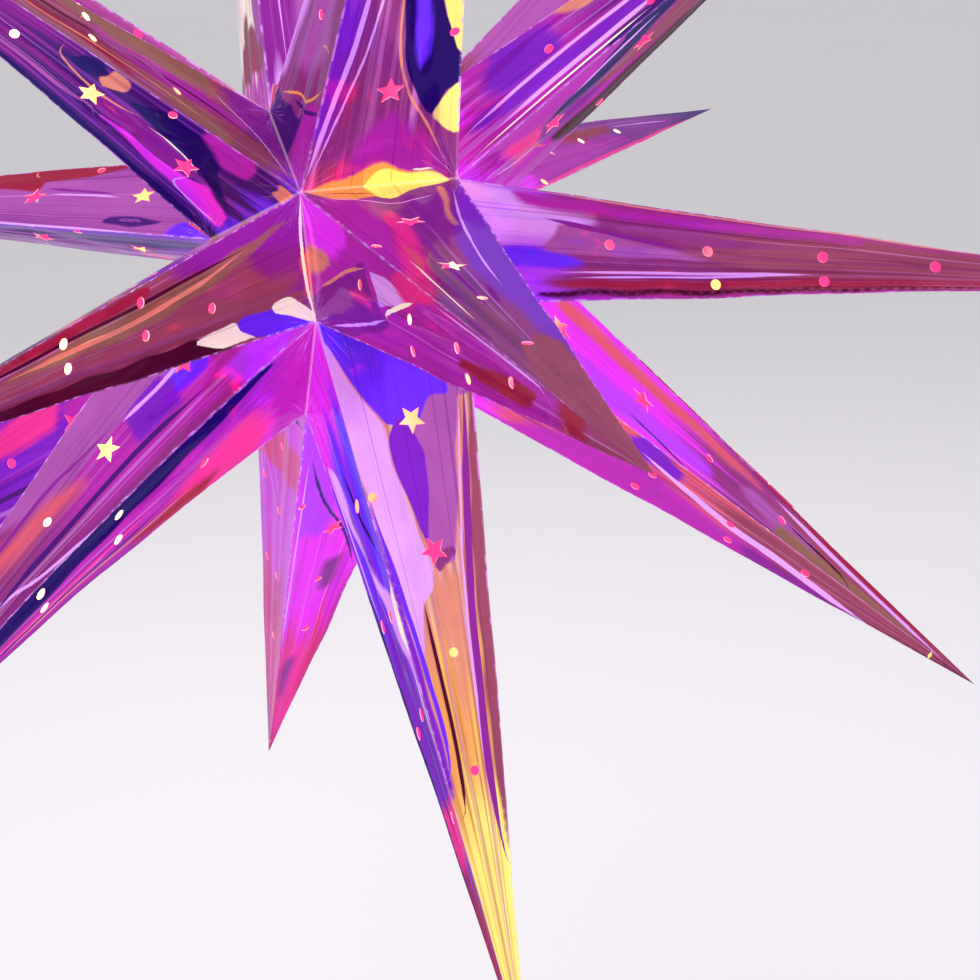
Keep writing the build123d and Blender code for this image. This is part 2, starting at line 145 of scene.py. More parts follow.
class ThreadSizes(bpy.types.PropertyGroup):
    """The threads and ribs of the fittings."""
    tube_radius: length("Tube Radius", "Radius of the threaded tube, and of the grip's socket", 0.005)
    tube_bore: length("Tube Bore", "Radius of the threaded tube's bore", 0.0039)
    tube_pitch: length("Tube Pitch", "From crest to crest of the tube's metric thread", 0.001)
    tube_depth: length("Tube Depth", "Depth of the tube's thread", 0.0005)
    lamp_pitch: length("Lamp Pitch", "From crest to crest of the lamp's round thread", 0.00282)
    lamp_depth: length("Lamp Depth", "Depth of the thread rolled in the lamp's cap", 0.0005)
    lamp_wall: length("Lamp Wall", "Thickness of the lamp's cap", 0.0004)
    shell_bore: length("Shell Bore", "Radius inside the holder's brass shell, at its crests", 0.0073)
    shell_depth: length("Shell Depth", "Depth of the thread rolled in the shell", 0.0002)
    grip_ribs: number_of("Grip Ribs", "Ribs round the cord grip", 22, 6)
    grip_depth: length("Grip Depth", "Depth of the grooves between the grip's ribs", 0.0005)
    grip_top: length("Grip Top", "Radius of the cord grip at its top", 0.0055)
    grip_edge: length("Grip Edge", "The slope round the cord grip's top", 0.0008)
    grip_socket: length("Grip Socket", "Depth of the grip's threaded socket", 0.009)
    cord_bore: length("Cord Bore", "Radius of the cord's way through the grip", 0.0034)


class FoilColours(bpy.types.PropertyGroup):
    """The colours that the film turns in the light: its own iridescent hue, with the lamp's light, glints,
    reflections and shade painted in.
    """
    violet_blue: colour("Violet Blue", "Film with the lamp just behind it", "#6a2cf4")
    violet: colour("Violet", "Film lit from behind", "#7a22bc")
    bright_violet: colour("Bright Violet", "Film lit from behind", "#b43cf4")
    deep_violet: colour("Deep Violet", "Film in its own shade", "#46186e")
    navy: colour("Navy", "Film in deep shade", "#220a5c")
    purple: colour("Purple", "Film at a slant", "#86258e")
    magenta: colour("Magenta", "Film seen square on", "#b02aa6")
    vivid_magenta: colour("Vivid Magenta", "Film seen square on and lit", "#e236e8")
    hot_pink: colour("Hot Pink", "Film near the lamp", "#e4328e")
    coral: colour("Coral", "Film that mirrors the lamp", "#d8586a")
    crimson: colour("Crimson", "Film at its steepest", "#9c1f3e")
    dark_rose: colour("Dark Rose", "Film in a fold", "#480a2a")
    plum: colour("Plum", "Film that mirrors the dark", "#8a3478")
    mauve: colour("Mauve", "Film that mirrors its neighbour", "#a654a4")
    lilac: colour("Lilac", "Film that mirrors a pale light", "#d79af0")
    rose_brown: colour("Rose Brown", "Film turned from the lamp", "#94455f")
    salmon: colour("Salmon", "Film that mirrors the lamp", "#d58470")
    orange: colour("Orange", "Film that mirrors the lamp", "#e59a54")
    gold: colour("Gold", "Film with the lamp straight behind it", "#fbe476")
    olive: colour("Olive", "Film at the end of its range", "#8d6150")
    cream: colour("Cream", "A glint of the lamp", "#fdf3dc")


class CardColours(bpy.types.PropertyGroup):
    """The colours of the card behind the film: the lamp's warm light, its fall-off and what the card mirrors
    are painted into them, and the cut edge is the card's own colour.
    """
    inside: colour("Inside", "The card's lit inner side", "#fff0cc")
    amber: colour("Amber", "The inner side further from the lamp", "#ffd088")
    blush: colour("Blush", "What the inner side mirrors", "#f0448c")
    core: colour("Core", "The card's cut edge", "#f3e3ef")


class FoilFinish(bpy.types.PropertyGroup):
    """How the film shines, and the painted glow of the film and of the card's inner side."""
    metal: share("Metal", "How much of the film mirrors like metal", 0.62)
    glow: share("Glow", "Strength of the light that comes through the film", 0.55, 10.0)
    inside_glow: share("Inside Glow", "Strength of the light on the card's inner side", 0.95, 10.0)
    roughness: share("Roughness", "Roughness of the film", 0.14)
    coat: share("Coat", "Weight of the film's clear gloss", 0.08)
    mirror: colour("Mirror", "What the film mirrors at a slant", "#7a46a0")


class StudioSettings(bpy.types.PropertyGroup):
    """The camera, lights and floor."""
    camera_azimuth: turned_by("Camera Azimuth", "Turn about the star", -18.456)
    camera_elevation: turned_by("Camera Elevation", "Height over the star", 17.992)
    camera_roll: turned_by("Camera Roll", "Turn about the view", -1.34)
    camera_distance: length("Camera Distance", "From the star's middle", 1.101)
    camera_right: length("Camera Right", "How far the camera stands to the right of the star", 0.0571)
    camera_down: length("Camera Down", "How far the camera stands below the star", 0.109)
    lens: millimetres("Lens", "Focal length of the lens", 97.93)
    sensor: millimetres("Sensor", "Width of the frame behind the lens", 36.0)
    floor_drop: length("Floor Drop", "From the cord grip down to the floor", 0.95)
    floor_colour: colour("Floor Colour", "The plain floor", "#e9e7ea")
    sky_colour: colour("Sky Colour", "The light from all round", "#f0eef4")
    sky_strength: share("Sky Strength", "Strength of the light from all round", 0.42, 10.0)
    sky_seen: share("Sky Seen", "Brightness of the sky where it is seen itself", 0.85, 10.0)
    floor_lift: share("Floor Lift", "What is added to the floor's brightness where it is seen", 0.32, 10.0)


SETTINGS = {
    "star_sizes": StarSizes,
    "cut_out_sizes": CutOutSizes,
    "foil_relief": FoilRelief,
    "thread_sizes": ThreadSizes,
    "foil_colours": FoilColours,
    "card_colours": CardColours,
    "foil_finish": FoilFinish,
    "star_studio": StudioSettings,
}

# ---- The star's plan, as its construction has it ----
ROWS = {"left": -1, "middle": 0, "right": 1}

# How far a soft tip stands off its true place, in metres: round the axis, and along it to the right
TIP_LEANS = {
    ("left", 2): (0.017, 0.004), ("left", 4): (0.004, -0.004), ("left", 5): (-0.010, 0.0),
    ("left", 6): (0.004, 0.018), ("middle", 1): (0.003, 0.005), ("middle", 2): (0.005, -0.007),
    ("middle", 3): (-0.002, 0.009), ("middle", 4): (-0.005, -0.007), ("middle", 6): (0.0, -0.006),
    ("right", 1): (-0.012, -0.014), ("right", 3): (0.020, -0.010), ("right", 4): (0.007, 0.005),
    ("right", 5): (-0.007, 0.005),
}

# How far a soft corner of the core stands off its true place, in metres towards the back and up: the
# card sags at the lower front. A corner is its sixth of a turn from the top over the front, and its side.
CORNER_LEANS = {
    (2, -1): (-0.0158, 0.0015), (2, 1): (-0.0066, 0.0),
    (3, -1): (-0.0368, -0.0171), (3, 1): (-0.0116, -0.0201),
}
# How far a soft spike bends off its straight middle, in metres along X, Y and Z
SPIKE_BENDS = {("left", 3): (-0.0050, 0.0, 0.0052), ("left", 4): (0.0, 0.0, 0.008)}

# The cut-outs of a face: how far up it they stand, and how far off its middle over half its width
STARRED = {"stars": ((0.15, 0.0), (0.33, 0.0)), "dots": ((0.235, 0.86), (0.46, 0.0), (0.61, 0.0))}
DOTTED = {"stars": (), "dots": (
    (0.21, -0.12), (0.36, -0.12), (0.51, -0.14), (0.66, -0.12), (0.36, 0.66), (0.515, 0.62),
)}
# The edges of a spike's mouth whose faces are dotted, by row: those along the next row's spikes
DOTTED_EDGES = {"left": (1,), "middle": (0, 2), "right": (0,)}

# What each face that the front shows is coloured like. A face is its row, its column and which edge
# of the spike's mouth it stands on. Its film is a ground, what covers that from the foot up and from
# two heights on, the patches that lie over it in their order, and the stripes on top of them.
# Places are in hundredths: across the face from -100 to 100, and up it from 0 to 100.
# A patch has a softness and a stripe half a width, both in millimetres.
# The film's colours are partly its own hue and partly painted light: its ground, its foot, middle and tip,
# its patches and its stripes paint the lamp's glow through it, its glints and reflections, and the shade in
# its folds.
FILMS = {
    ("middle", 1, 0): ("plum", ("violet", 1), ("mauve", 40), ("lilac", 80), (
        ("deep_violet", 1.5, (-100, -2, -100, 4, 0, 6, 30, 8, 20, 3, 0, -2)),
        ("magenta", 3.0, (30, -2, 30, 9, 100, 13, 100, -2)),
        ("lilac", 4.0, (-110, 6, -110, 24, -78, 22, -90, 8)),
        ("mauve", 6.0, (-60, 12, -50, 40, 40, 40, 60, 19, 0, 13))), (
        ("orange", 0.6, (-80, 5, -10, 9, 30, 10, 90, 15)), ("deep_violet", 0.9, (-30, 7, 40, 9, 100, 12)),
        ("salmon", 0.6, (35, 19, 60, 20, 82, 20)))),
    ("middle", 1, 1): ("plum", ("hot_pink", 2), ("rose_brown", 34), ("lilac", 80), (
        ("violet", 6.0, (-110, 9, -110, 34, -70, 34, -60, 22, -80, 8)),
        ("magenta", 7.0, (-60, -2, -30, 8, 10, 11, 60, 7, 90, -2)),
        ("orange", 1.6, (-94, -1, -60, 1.2, -30, 2.6, 0, 3.2, 20, 2.6, 60, 1.5, 100, -1)),
        ("gold", 0.9, (-22, -1, -8, 1.8, 10, 2.4, 40, 1.8, 70, 1.1, 100, -1)),
        ("navy", 0.6, (
            0, 40, 2, 30, 6, 24, 20, 18, 40, 13, 60, 10, 77, 14, 103, 16, 103, 20, 72, 25, 58, 32, 50, 44)),
        ("gold", 0.6, (60, 32, 73, 25, 103, 20, 103, 46, 62, 44)),
        ("gold", 0.9, (62, 10, 80, 14, 104, 16, 104, 8, 84, 8)),
        ("violet_blue", 2.5, (22, 30, 24, 24, 40, 18, 52, 20, 44, 30))), (
        ("lilac", 1.1, (-96, 2, -84, 12, -66, 22, -56, 34)),
        ("lilac", 0.5, (-92, 2, -66, 13, -44, 22, -28, 34)),
        ("salmon", 0.6, (-3, 32, 5, 21, 26, 14, 56, 9, 82, 3)), ("cream", 0.5, (40, 2, 56, 2, 68, 2)))),
    ("middle", 2, 0): ("magenta", ("magenta", 2), ("magenta", 45), ("rose_brown", 80), (
        ("vivid_magenta", 4.0, (-104, -2, -104, 14, -70, 16, -20, 9, -14, -2)),
        ("purple", 0.7, (-62, 22, 0, 12, 46, 2, 80, -2, 104, -2, 104, 10, 76, 21, 30, 29, -20, 23)),
        ("salmon", 3.0, (-30, 7, -14, 9, 6, 6, 22, 1, 40, -2, 4, -2, -26, 1)),
        ("hot_pink", 4.0, (2, 24, 22, 23, 24, 17, 8, 17)),
        ("lilac", 0.7, (-62, 29, -54, 24, -34, 25, 2, 27, -46, 37)),
        ("hot_pink", 3.5, (-106, 34, -106, 45, -66, 42, -36, 36, -66, 31)),
        ("crimson", 2.0, (2, 55, 12, 52, 42, 50, 56, 61, 62, 68, 30, 71, -30, 72, -38, 67, -12, 60)),
        ("crimson", 5.0, (-104, 79, 0, 77, 40, 79, 104, 77, 104, 84, -104, 84))), (
        ("salmon", 0.7, (-52, 22, -20, 15, 10, 10, 36, 4)),
        ("cream", 0.9, (-52, 38, -24, 34, 10, 29, 26, 28)),
        ("lilac", 0.6, (26, 28, 60, 20, 92, 7)), ("lilac", 0.5, (-86, 44, -86, 70, -68, 74, -24, 76)))),
    ("middle", 2, 3): ("purple", ("plum", 1), ("plum", 46), ("rose_brown", 70), (
        ("magenta", 7.0, (26, 4, 40, 18, 80, 32, 106, 34, 106, 4)),
        ("violet", 5.0, (-106, 2, -76, 9, -50, 20, -30, 30, -30, 40, -50, 50, -60, 66, -106, 66)),
        ("hot_pink", 4.0, (
            8, 12, 14, 22, 30, 28, 52, 36, 80, 42, 106, 46, 106, 38, 84, 32, 56, 24, 34, 14, 20, 9)),
        ("coral", 2.6, (42, 28, 52, 33, 62, 33, 54, 27, 44, 24)),
        ("orange", 0.9, (4, -1, 8, 3.6, 44, 4.6, 80, 2.4, 100, -1)),
        ("gold", 0.8, (-100, -1, -60, 1.8, -30, 3.2, -6, 4.2, 10, 3.8, 20, -1)),
        ("rose_brown", 1.8, (
            -84, 62, -40, 59, 25, 61, 50, 67, 80, 74, 106, 78, 106, 104, -106, 104, -106, 72)),
        ("salmon", 1.2, (-78, 3, -66, 10, -55, 19, -50, 18, -60, 9, -70, 2))), (
        ("lilac", 0.5, (-86, 4, -66, 17, -56, 30, -52, 42)), ("crimson", 0.5, (14, 2.6, 40, 2.2, 74, 1.2)),
        ("lilac", 0.5, (-60, 5, -10, 6.5, 84, 3)), ("cream", 0.4, (62, 30, 64, 40, 62, 52)))),
    ("middle", 3, 0): ("violet_blue", ("vivid_magenta", 10), ("violet", 34), ("crimson", 70), (
        ("lilac", 1.6, (
            86, 10, 60, 12, 30, 20, -10, 30, -60, 36, -104, 34, -104, 52, -60, 45, -10, 38, 30, 28, 86, 16)),
        ("violet", 2.0, (40, 16, 0, 26, -30, 33, 0, 30, 50, 20)),
        ("cream", 1.2, (-104, 34, -66, 36, -60, 41, -104, 45)),
        ("hot_pink", 5.0, (-104, 64, 104, 62, 104, 71, -104, 71)),
        ("mauve", 3.0, (-104, 52, -50, 50, -60, 62, -104, 62)),
        ("navy", 1.2, (88, 30, 84, 50, 80, 78, 106, 80, 106, 30))), (
        ("lilac", 0.7, (90, 10, 82, 22, 72, 34)), ("navy", 0.7, (10, 14, -20, 24, -70, 31)),
        ("cream", 0.6, (-74, 46, -78, 58, -76, 66)), ("deep_violet", 0.6, (30, 40, 24, 56, 30, 68)))),
    ("middle", 3, 3): ("salmon", ("violet_blue", -5), ("orange", 48), ("gold", 66), (
        ("mauve", 1.0, (-104, -2, -104, 12, -72, 12, -48, 30, -34, 34, 6, 33, 30, 20, 30, -2)),
        ("violet_blue", 0.8, (-62, 11, -40, -2, 104, -2, 104, 2, 70, 9, 42, 15, 0, 15, -30, 12)),
        ("violet", 0.8, (-12, 19, 0, 26, 9, 31, 24, 28, 38, 23, 43, 17, 20, 13, 0, 16)),
        ("lilac", 1.0, (
            104, 2, 46, 15, 43, 20, 36, 26, 12, 33, 20, 37, 44, 39, 66, 44, 84, 46, 90, 30, 104, 12)),
        ("plum", 0.8, (-42, 33, 0, 34.4, 12, 33, -4, 31.6, -34, 32)),
        ("rose_brown", 1.5, (-104, 10, -92, 12, -74, 30, -66, 50, -70, 62, -84, 69, -104, 71)),
        ("violet", 1.5, (78, 62, 84, 46, 92, 30, 104, 20, 104, 64)),
        ("salmon", 6.0, (-44, 36, -30, 48, -10, 54, 6, 46, 12, 36))), (
        ("purple", 1.7, (-86, 10, -68, 30, -57, 42, -52, 53, -52, 62, -62, 69, -82, 73, -106, 74)),
        ("lilac", 0.5, (-78, 10, -60, 26, -49, 35, -41, 48, -39, 62)),
        ("dark_rose", 0.9, (45, 38, 42, 48, 42, 56, 48, 62, 62, 66, 84, 67)),
        ("violet_blue", 1.0, (96, 24, 82, 40, 72, 50, 70, 57, 82, 61, 104, 60)))),
    ("middle", 4, 0): ("vivid_magenta", ("vivid_magenta", 9), ("hot_pink", 52), ("crimson", 93), (
        ("hot_pink", 4.0, (-104, 12, -104, 20, 104, 33, 104, 24)),
        ("coral", 2.0, (-104, 76, -70, 77, -60, 92, -104, 96)),
        ("mauve", 3.0, (10, 88, 16, 96, 104, 98, 104, 88))), (
        ("deep_violet", 1.2, (-104, 4, 0, 13, 104, 24)), ("lilac", 0.4, (60, 20, 64, 50, 66, 80)))),
    ("middle", 4, 3): ("vivid_magenta", ("bright_violet", 12), ("hot_pink", 60), ("crimson", 93), (
        ("bright_violet", 7.0, (10, 10, 20, 32, 90, 32, 90, 12)),
        ("crimson", 6.0, (-106, 42, -86, 50, -80, 70, -106, 84)),
        ("purple", 5.0, (-46, 40, -50, 48, -10, 50, 0, 42)),
        ("purple", 5.0, (10, 70, 26, 80, 70, 81, 80, 72, 40, 68))), (
        ("lilac", 0.6, (84, 12, 88, 40, 92, 66)), ("deep_violet", 0.8, (-90, 44, -30, 34, 40, 24, 80, 12)))),
    ("middle", 6, 0): ("cream", ("magenta", 9), ("cream", 34), ("lilac", 80), (
        ("rose_brown", 3.0, (-104, 9, 0, 15, 104, 12, 104, 7, -104, 8)),
        ("mauve", 2.0, (60, 12, 50, 40, 104, 40, 104, 12)),
        ("olive", 2.0, (-30, 14, -10, 18, 10, 16, 0, 13))), (
        ("olive", 0.9, (-80, 12, -84, 40, -80, 80)), ("deep_violet", 0.5, (40, 10, 36, 40, 40, 80)))),
    ("left", 1, 0): ("deep_violet", ("violet_blue", 2), ("purple", 44), ("mauve", 70), (
        ("navy", 1.0, (-104, -2, -104, 50, -84, 50, -80, 10, -86, 0)),
        ("vivid_magenta", 1.6, (-74, 2, -40, 2, -6, 9, -20, 12, -24, 20, -26, 28, -36, 28, -46, 20, -60, 9)),
        ("purple", 1.5, (-20, 12, -20, 30, 14, 34, 30, 26, 16, 14)),
        ("navy", 1.2, (-20, 4, 10, 8, 50, 11, 82, 14, 76, 24, 50, 28, 30, 24, 20, 18, 0, 10)),
        ("magenta", 2.5, (50, 11, 82, 17, 104, 16, 104, 8, 60, 7)),
        ("navy", 0.9, (36, 36, 54, 39, 86, 38, 94, 35, 60, 33)),
        ("salmon", 0.9, (36, 32, 54, 34, 92, 33, 92, 30, 60, 30)),
        ("salmon", 0.8, (56, -1, 62, 3, 76, 2.4, 88, 3.4, 84, -1))), (
        ("salmon", 0.6, (76, 41, 40, 40, 18, 36, 12, 31, 20, 27, 32, 25)),
        ("cream", 0.4, (20, 23, 17, 16, 4, 12)),
        ("lilac", 0.5, (-66, 2, -60, 9, -46, 13, -10, 12)),
        ("mauve", 1.2, (-46, 50, -44, 36, -30, 31, -50, 29)))),
    ("left", 1, 1): ("rose_brown", ("violet", 3), ("rose_brown", 40), ("mauve", 80), (
        ("purple", 7.0, (-40, -2, 0, 6, 104, 10, 104, -2)),
        ("magenta", 8.0, (0, 8, -10, 22, 10, 34, 60, 34, 50, 16, 20, 8)),
        ("olive", 5.0, (-94, 12, -80, 22, -40, 26, -20, 18, -40, 12)),
        ("crimson", 7.0, (-70, 30, -60, 48, -10, 46, -20, 32)),
        ("olive", 7.0, (50, 12, 44, 30, 70, 42, 104, 40, 104, 14))), (
        ("salmon", 0.5, (50, 37, 70, 36, 90, 36)), ("lilac", 0.4, (-90, 1, -30, 3, 30, 7, 60, 12)),
        ("dark_rose", 0.8, (-30, 2, 4, 12, 20, 30, 24, 60)), ("salmon", 0.5, (-60, 10, -34, 30, -24, 60)))),
    ("left", 2, 1): ("rose_brown", ("purple", 2), ("rose_brown", 40), ("mauve", 88), (
        ("dark_rose", 0.8, (-106, 20, -60, 26, -58, 50, -56, 90, -106, 90)),
        ("purple", 5.0, (-10, -2, -10, 8, 40, 14, 60, 26, 106, 30, 106, -2)),
        ("coral", 3.0, (-58, -1, -48, 1.6, 0, 1.4, 20, -1)),
        ("olive", 1.4, (
            66, 2, 55, 10, 30, 18, 10, 30, 4, 40, 12, 52, 26, 62, 40, 63, 52, 50, 57, 34, 62, 20, 70, 8)),
        ("violet_blue", 0.7, (-106, 0, -74, 5, -56, 9, -54, 15, -68, 17, -92, 15)),
        ("cream", 0.4, (-104, -1, -72, 1, -50, 5, -50, 9, -66, 8, -80, 5)),
        ("cream", 0.4, (-96, 14, -80, 16, -58, 17, -56, 22, -70, 26, -92, 21)),
        ("crimson", 1.5, (70, 34, 66, 50, 74, 76, 98, 76, 94, 36))), (
        ("cream", 0.9, (-96, 0, -40, 1, 40, 1, 96, 0)), ("gold", 0.5, (26, 34, 30, 42, 36, 50)),
        ("salmon", 1.0, (58, 14, 36, 26, 28, 42, 36, 62)), ("dark_rose", 0.7, (60, 12, 60, 34, 62, 70)))),
    ("left", 2, 2): ("mauve", ("salmon", 8), ("rose_brown", 20), ("dark_rose", 44), (
        ("violet", 2.0, (-104, 9, 104, 16, 104, 24, -104, 20)),
        ("coral", 4.0, (-104, 31, 104, 38, 104, 44, -104, 40))), (
        ("lilac", 0.7, (-104, 18, -20, 15, 104, 9)), ("salmon", 0.7, (-104, 38, 0, 34, 104, 28)))),
    ("left", 3, 1): ("magenta", ("vivid_magenta", 9), ("magenta", 40), ("deep_violet", 82), (
        ("magenta", 6.0, (-106, -2, -104, 6, 0, 8, 60, 10, 106, 8, 106, -2)),
        ("hot_pink", 9.0, (-106, 9, -106, 26, -60, 28, 0, 20, 20, 12, -30, 8)),
        ("crimson", 5.0, (-106, 20, -80, 34, -50, 34, -60, 18)),
        ("purple", 1.5, (-106, 28, -88, 34, -80, 60, -60, 80, -70, 100, -106, 100)),
        ("navy", 1.2, (
            94, 8, 72, 14, 54, 22, 40, 32, 26, 46, 6, 60, -30, 74, -70, 86, -70, 104, 106, 104, 106, 14))), (
        ("salmon", 0.5, (-52, 22, -58, 40, -66, 60)), ("lilac", 0.6, (-14, 34, -36, 52, -52, 70)),
        ("hot_pink", 0.9, (-4, 28, -24, 46, -46, 66)), ("deep_violet", 0.6, (-30, 26, -46, 44, -58, 66)))),
    ("left", 3, 2): ("magenta", ("vivid_magenta", 5), ("plum", 42), ("lilac", 80), (
        ("plum", 7.0, (-106, 14, -106, 44, -86, 42, -80, 20)),
        ("bright_violet", 4.0, (-106, -2, -104, 12, -60, 14, -50, 4, -20, -2)),
        ("violet_blue", 2.0, (-38, 14, -30, 20, 8, 21, 20, 16, -10, 12)),
        ("mauve", 5.0, (10, 16, 20, 30, 40, 46, 106, 50, 106, 14)),
        ("coral", 7.0, (-10, 38, 16, 60, 30, 92, 90, 92, 80, 60, 30, 42)),
        ("violet", 3.0, (-44, 20, -40, 28, 10, 28, 20, 20))), (
        ("lilac", 1.2, (4, 16, 4, 22, 12, 28)), ("lilac", 0.7, (-104, 38, -88, 50, -52, 58, -50, 70)),
        ("purple", 0.9, (18, 28, 34, 36, 52, 44, 58, 70)),
        ("deep_violet", 1.2, (-60, 16, -50, 30, -56, 60)))),
    ("left", 4, 2): ("violet", ("magenta", 10), ("violet", 50), ("magenta", 75), (
        ("hot_pink", 4.0, (10, 36, 20, 46, 60, 46, 70, 36, 40, 34)),
        ("magenta", 5.0, (-10, 22, 0, 32, 40, 34, 50, 24))), (
        ("lilac", 0.7, (-104, 42, -60, 36, -40, 33)), ("deep_violet", 1.0, (-60, 5, -54, 50, -60, 90)))),
    ("left", 5, 0): ("mauve", ("violet", 2), ("mauve", 50), ("rose_brown", 80), (
        ("violet_blue", 3.0, (-106, -2, -104, 8, -70, 6, -60, -2)),
        ("deep_violet", 1.2, (-86, 14, -76, 19, -60, 19, -58, 13, -66, 9)),
        ("crimson", 1.2, (20, 34, 54, 32, 60, 25, 80, 22, 106, 19, 106, 104, 60, 104, 50, 60, 40, 42)),
        ("mauve", 1.0, (-72, 16, -70, 13, -64, 13, -66, 17))), (
        ("lilac", 0.7, (-4, 18, 4, 24, 10, 31)), ("purple", 0.9, (6, 19, 20, 26, 30, 32)),
        ("lilac", 0.8, (-98, 10, -96, 40, -96, 80)), ("salmon", 0.5, (70, 34, 84, 35, 98, 35)))),
    ("left", 5, 2): ("purple", ("violet", 8), ("purple", 40), ("magenta", 80), (
        ("deep_violet", 2.5, (24, 4, 30, 40, 40, 90, 70, 90, 72, 4)),
        ("violet", 2.0, (84, -2, 80, 16, 72, 40, 70, 90, 106, 90, 106, -2)),
        ("hot_pink", 3.0, (-90, 12, -80, 17, -50, 16, -56, 12))), (
        ("lilac", 0.8, (-104, 34, -86, 34, -66, 36)), ("navy", 0.7, (10, 4, 14, 40, 20, 80)))),
    ("right", 1, 0): ("magenta", ("vivid_magenta", 4), ("purple", 30), ("lilac", 80), (
        ("violet", 7.0, (-106, 12, -80, 22, 10, 22, 20, 12, -20, 9)),
        ("salmon", 2.0, (-106, 22, -104, 34, -56, 36, -52, 29, -76, 25)),
        ("violet", 4.0, (28, 4, 20, 20, 26, 40, 56, 40, 60, 10)),
        ("deep_violet", 1.5, (78, 30, 70, 60, 106, 60, 106, 30))), (
        ("lilac", 0.9, (36, 3, 22, 14, 17, 26, 20, 40)), ("lilac", 1.2, (72, 8, 66, 20, 62, 40)),
        ("cream", 0.4, (88, 4, 84, 20, 84, 36)), ("deep_violet", 0.7, (-10, 24, 0, 40, 6, 70)))),
    ("right", 1, 1): ("magenta", ("vivid_magenta", 4), ("rose_brown", 38), ("mauve", 80), (
        ("navy", 1.4, (-104, 40, -60, 40, -22, 30, -8, 21, -20, 13, -46, 20, -80, 30, -104, 32)),
        ("rose_brown", 3.0, (-30, 40, -20, 30, 10, 22, 40, 30, 40, 60, -20, 60)),
        ("dark_rose", 3.0, (44, 14, 50, 40, 60, 90, 106, 90, 106, 20)),
        ("hot_pink", 4.0, (-60, 8, -40, 14, 20, 14, 30, 8)),
        ("purple", 3.0, (-30, 14, -4, 20, 20, 26, 40, 18, 30, 12))), (
        ("lilac", 0.8, (-74, 37, -60, 27, -46, 20)), ("lilac", 0.6, (-8, 4, 14, 8, 22, 14)),
        ("coral", 0.7, (-4, 12, 30, 12, 50, 13)), ("navy", 0.8, (-30, 40, 0, 50, 10, 80)))),
    ("right", 2, 0): ("plum", ("bright_violet", 13), ("rose_brown", 38), ("mauve", 88), (
        ("violet_blue", 2.5, (6, 4, 4, 14, 34, 18, 40, 4)),
        ("lilac", 6.0, (-106, -2, -84, 10, -54, 20, -16, 16, -4, -2)),
        ("magenta", 3.0, (-92, 8, -84, 30, -82, 56, -70, 56, -64, 30, -70, 10)),
        ("mauve", 2.0, (-46, 15, -10, 30, 10, 36, 15, 20, 5, 12)),
        ("crimson", 2.5, (60, 12, 58, 40, 50, 70, 60, 104, 80, 104, 80, 60, 78, 20)),
        ("magenta", 2.0, (92, 18, 94, 50, 92, 104, 106, 104, 106, 18)),
        ("magenta", 3.0, (-106, 2, -90, 30, -88, 104, -106, 104)),
        ("dark_rose", 1.2, (80, 14, 80, 60, 78, 104, 92, 104, 92, 50, 90, 12))), (
        ("lilac", 0.6, (46, 14, 42, 34, 40, 50)), ("salmon", 0.3, (-97, 6, -96, 40, -96, 80)),
        ("lilac", 0.4, (56, 16, 50, 36, 40, 50)), ("purple", 1.0, (-50, 12, -30, 24, -12, 33)))),
    ("right", 3, 0): ("coral", ("vivid_magenta", 10), ("rose_brown", 50), ("dark_rose", 93), (
        ("magenta", 6.0, (-30, 30, 10, 46, 30, 60, 106, 60, 106, 10)),
        ("purple", 4.0, (40, 56, 50, 70, 106, 76, 106, 56)),
        ("violet", 3.0, (-106, 34, -80, 42, -40, 40, -40, 30))), (
        ("lilac", 2.0, (-56, 34, -12, 50, 10, 62, 50, 72, 104, 80)),
        ("gold", 0.7, (-104, 91, 0, 91, 104, 91)))),
    ("right", 3, 2): ("vivid_magenta", ("vivid_magenta", 4), ("plum", 42), ("rose_brown", 58), (
        ("coral", 5.0, (-80, 16, -76, 50, -56, 56, -40, 50, -44, 16)),
        ("bright_violet", 5.0, (20, 20, 30, 46, 70, 44, 86, 26)),
        ("mauve", 3.0, (-20, 54, -10, 66, 50, 68, 60, 58, 20, 52)),
        ("crimson", 2.0, (-106, 50, -84, 58, -60, 74, -30, 90, -30, 104, -106, 104)),
        ("olive", 3.0, (30, 60, 40, 86, 106, 86, 106, 60))), (
        ("lilac", 1.3, (-62, 58, -36, 74, 0, 86, 60, 92, 106, 93)), ("gold", 0.7, (20, 91, 60, 91, 104, 91)),
        ("deep_violet", 0.7, (60, 30, 84, 38, 104, 42)), ("dark_rose", 0.7, (0, 60, 30, 72, 104, 74)))),
    ("right", 4, 2): ("crimson", ("purple", 10), ("crimson", 50), ("hot_pink", 80), (), ()),
    ("right", 5, 1): ("purple", ("vivid_magenta", 22), ("purple", 50), ("deep_violet", 82), (
        ("crimson", 6.0, (-60, 38, -56, 60, -10, 56, 10, 44, -10, 38)),
        ("magenta", 7.0, (0, 24, 10, 56, 60, 60, 90, 40, 86, 22))), (
        ("hot_pink", 1.2, (96, 10, 94, 50, 92, 90)), ("lilac", 0.4, (-40, 60, -20, 72, 20, 80)))),
    ("right", 6, 1): ("mauve", ("rose_brown", 10), ("mauve", 50), ("salmon", 80), (
        ("lilac", 3.0, (20, 2, 30, 90, 60, 90, 60, 2)),), ()),
}
GROUNDS = ("violet", "magenta", "mauve", "purple", "rose_brown", "plum", "vivid_magenta", "deep_violet")
ACCENTS = ("lilac", "hot_pink", "navy", "salmon", "violet_blue", "coral", "crimson", "bright_violet")
PATCH_COUNT = 8
STRIPE_COUNT = 4
LAYER_COUNT = 1 + PATCH_COUNT + 3 + STRIPE_COUNT

# What the fields say far from any patch, in softnesses, and where there is no stripe
FAR_OUTSIDE = -3.0
NO_STRIPE = (0.0, -20.0)
# The share of a stripe's length over which it narrows at each end
STRIPE_TAPER = 0.2
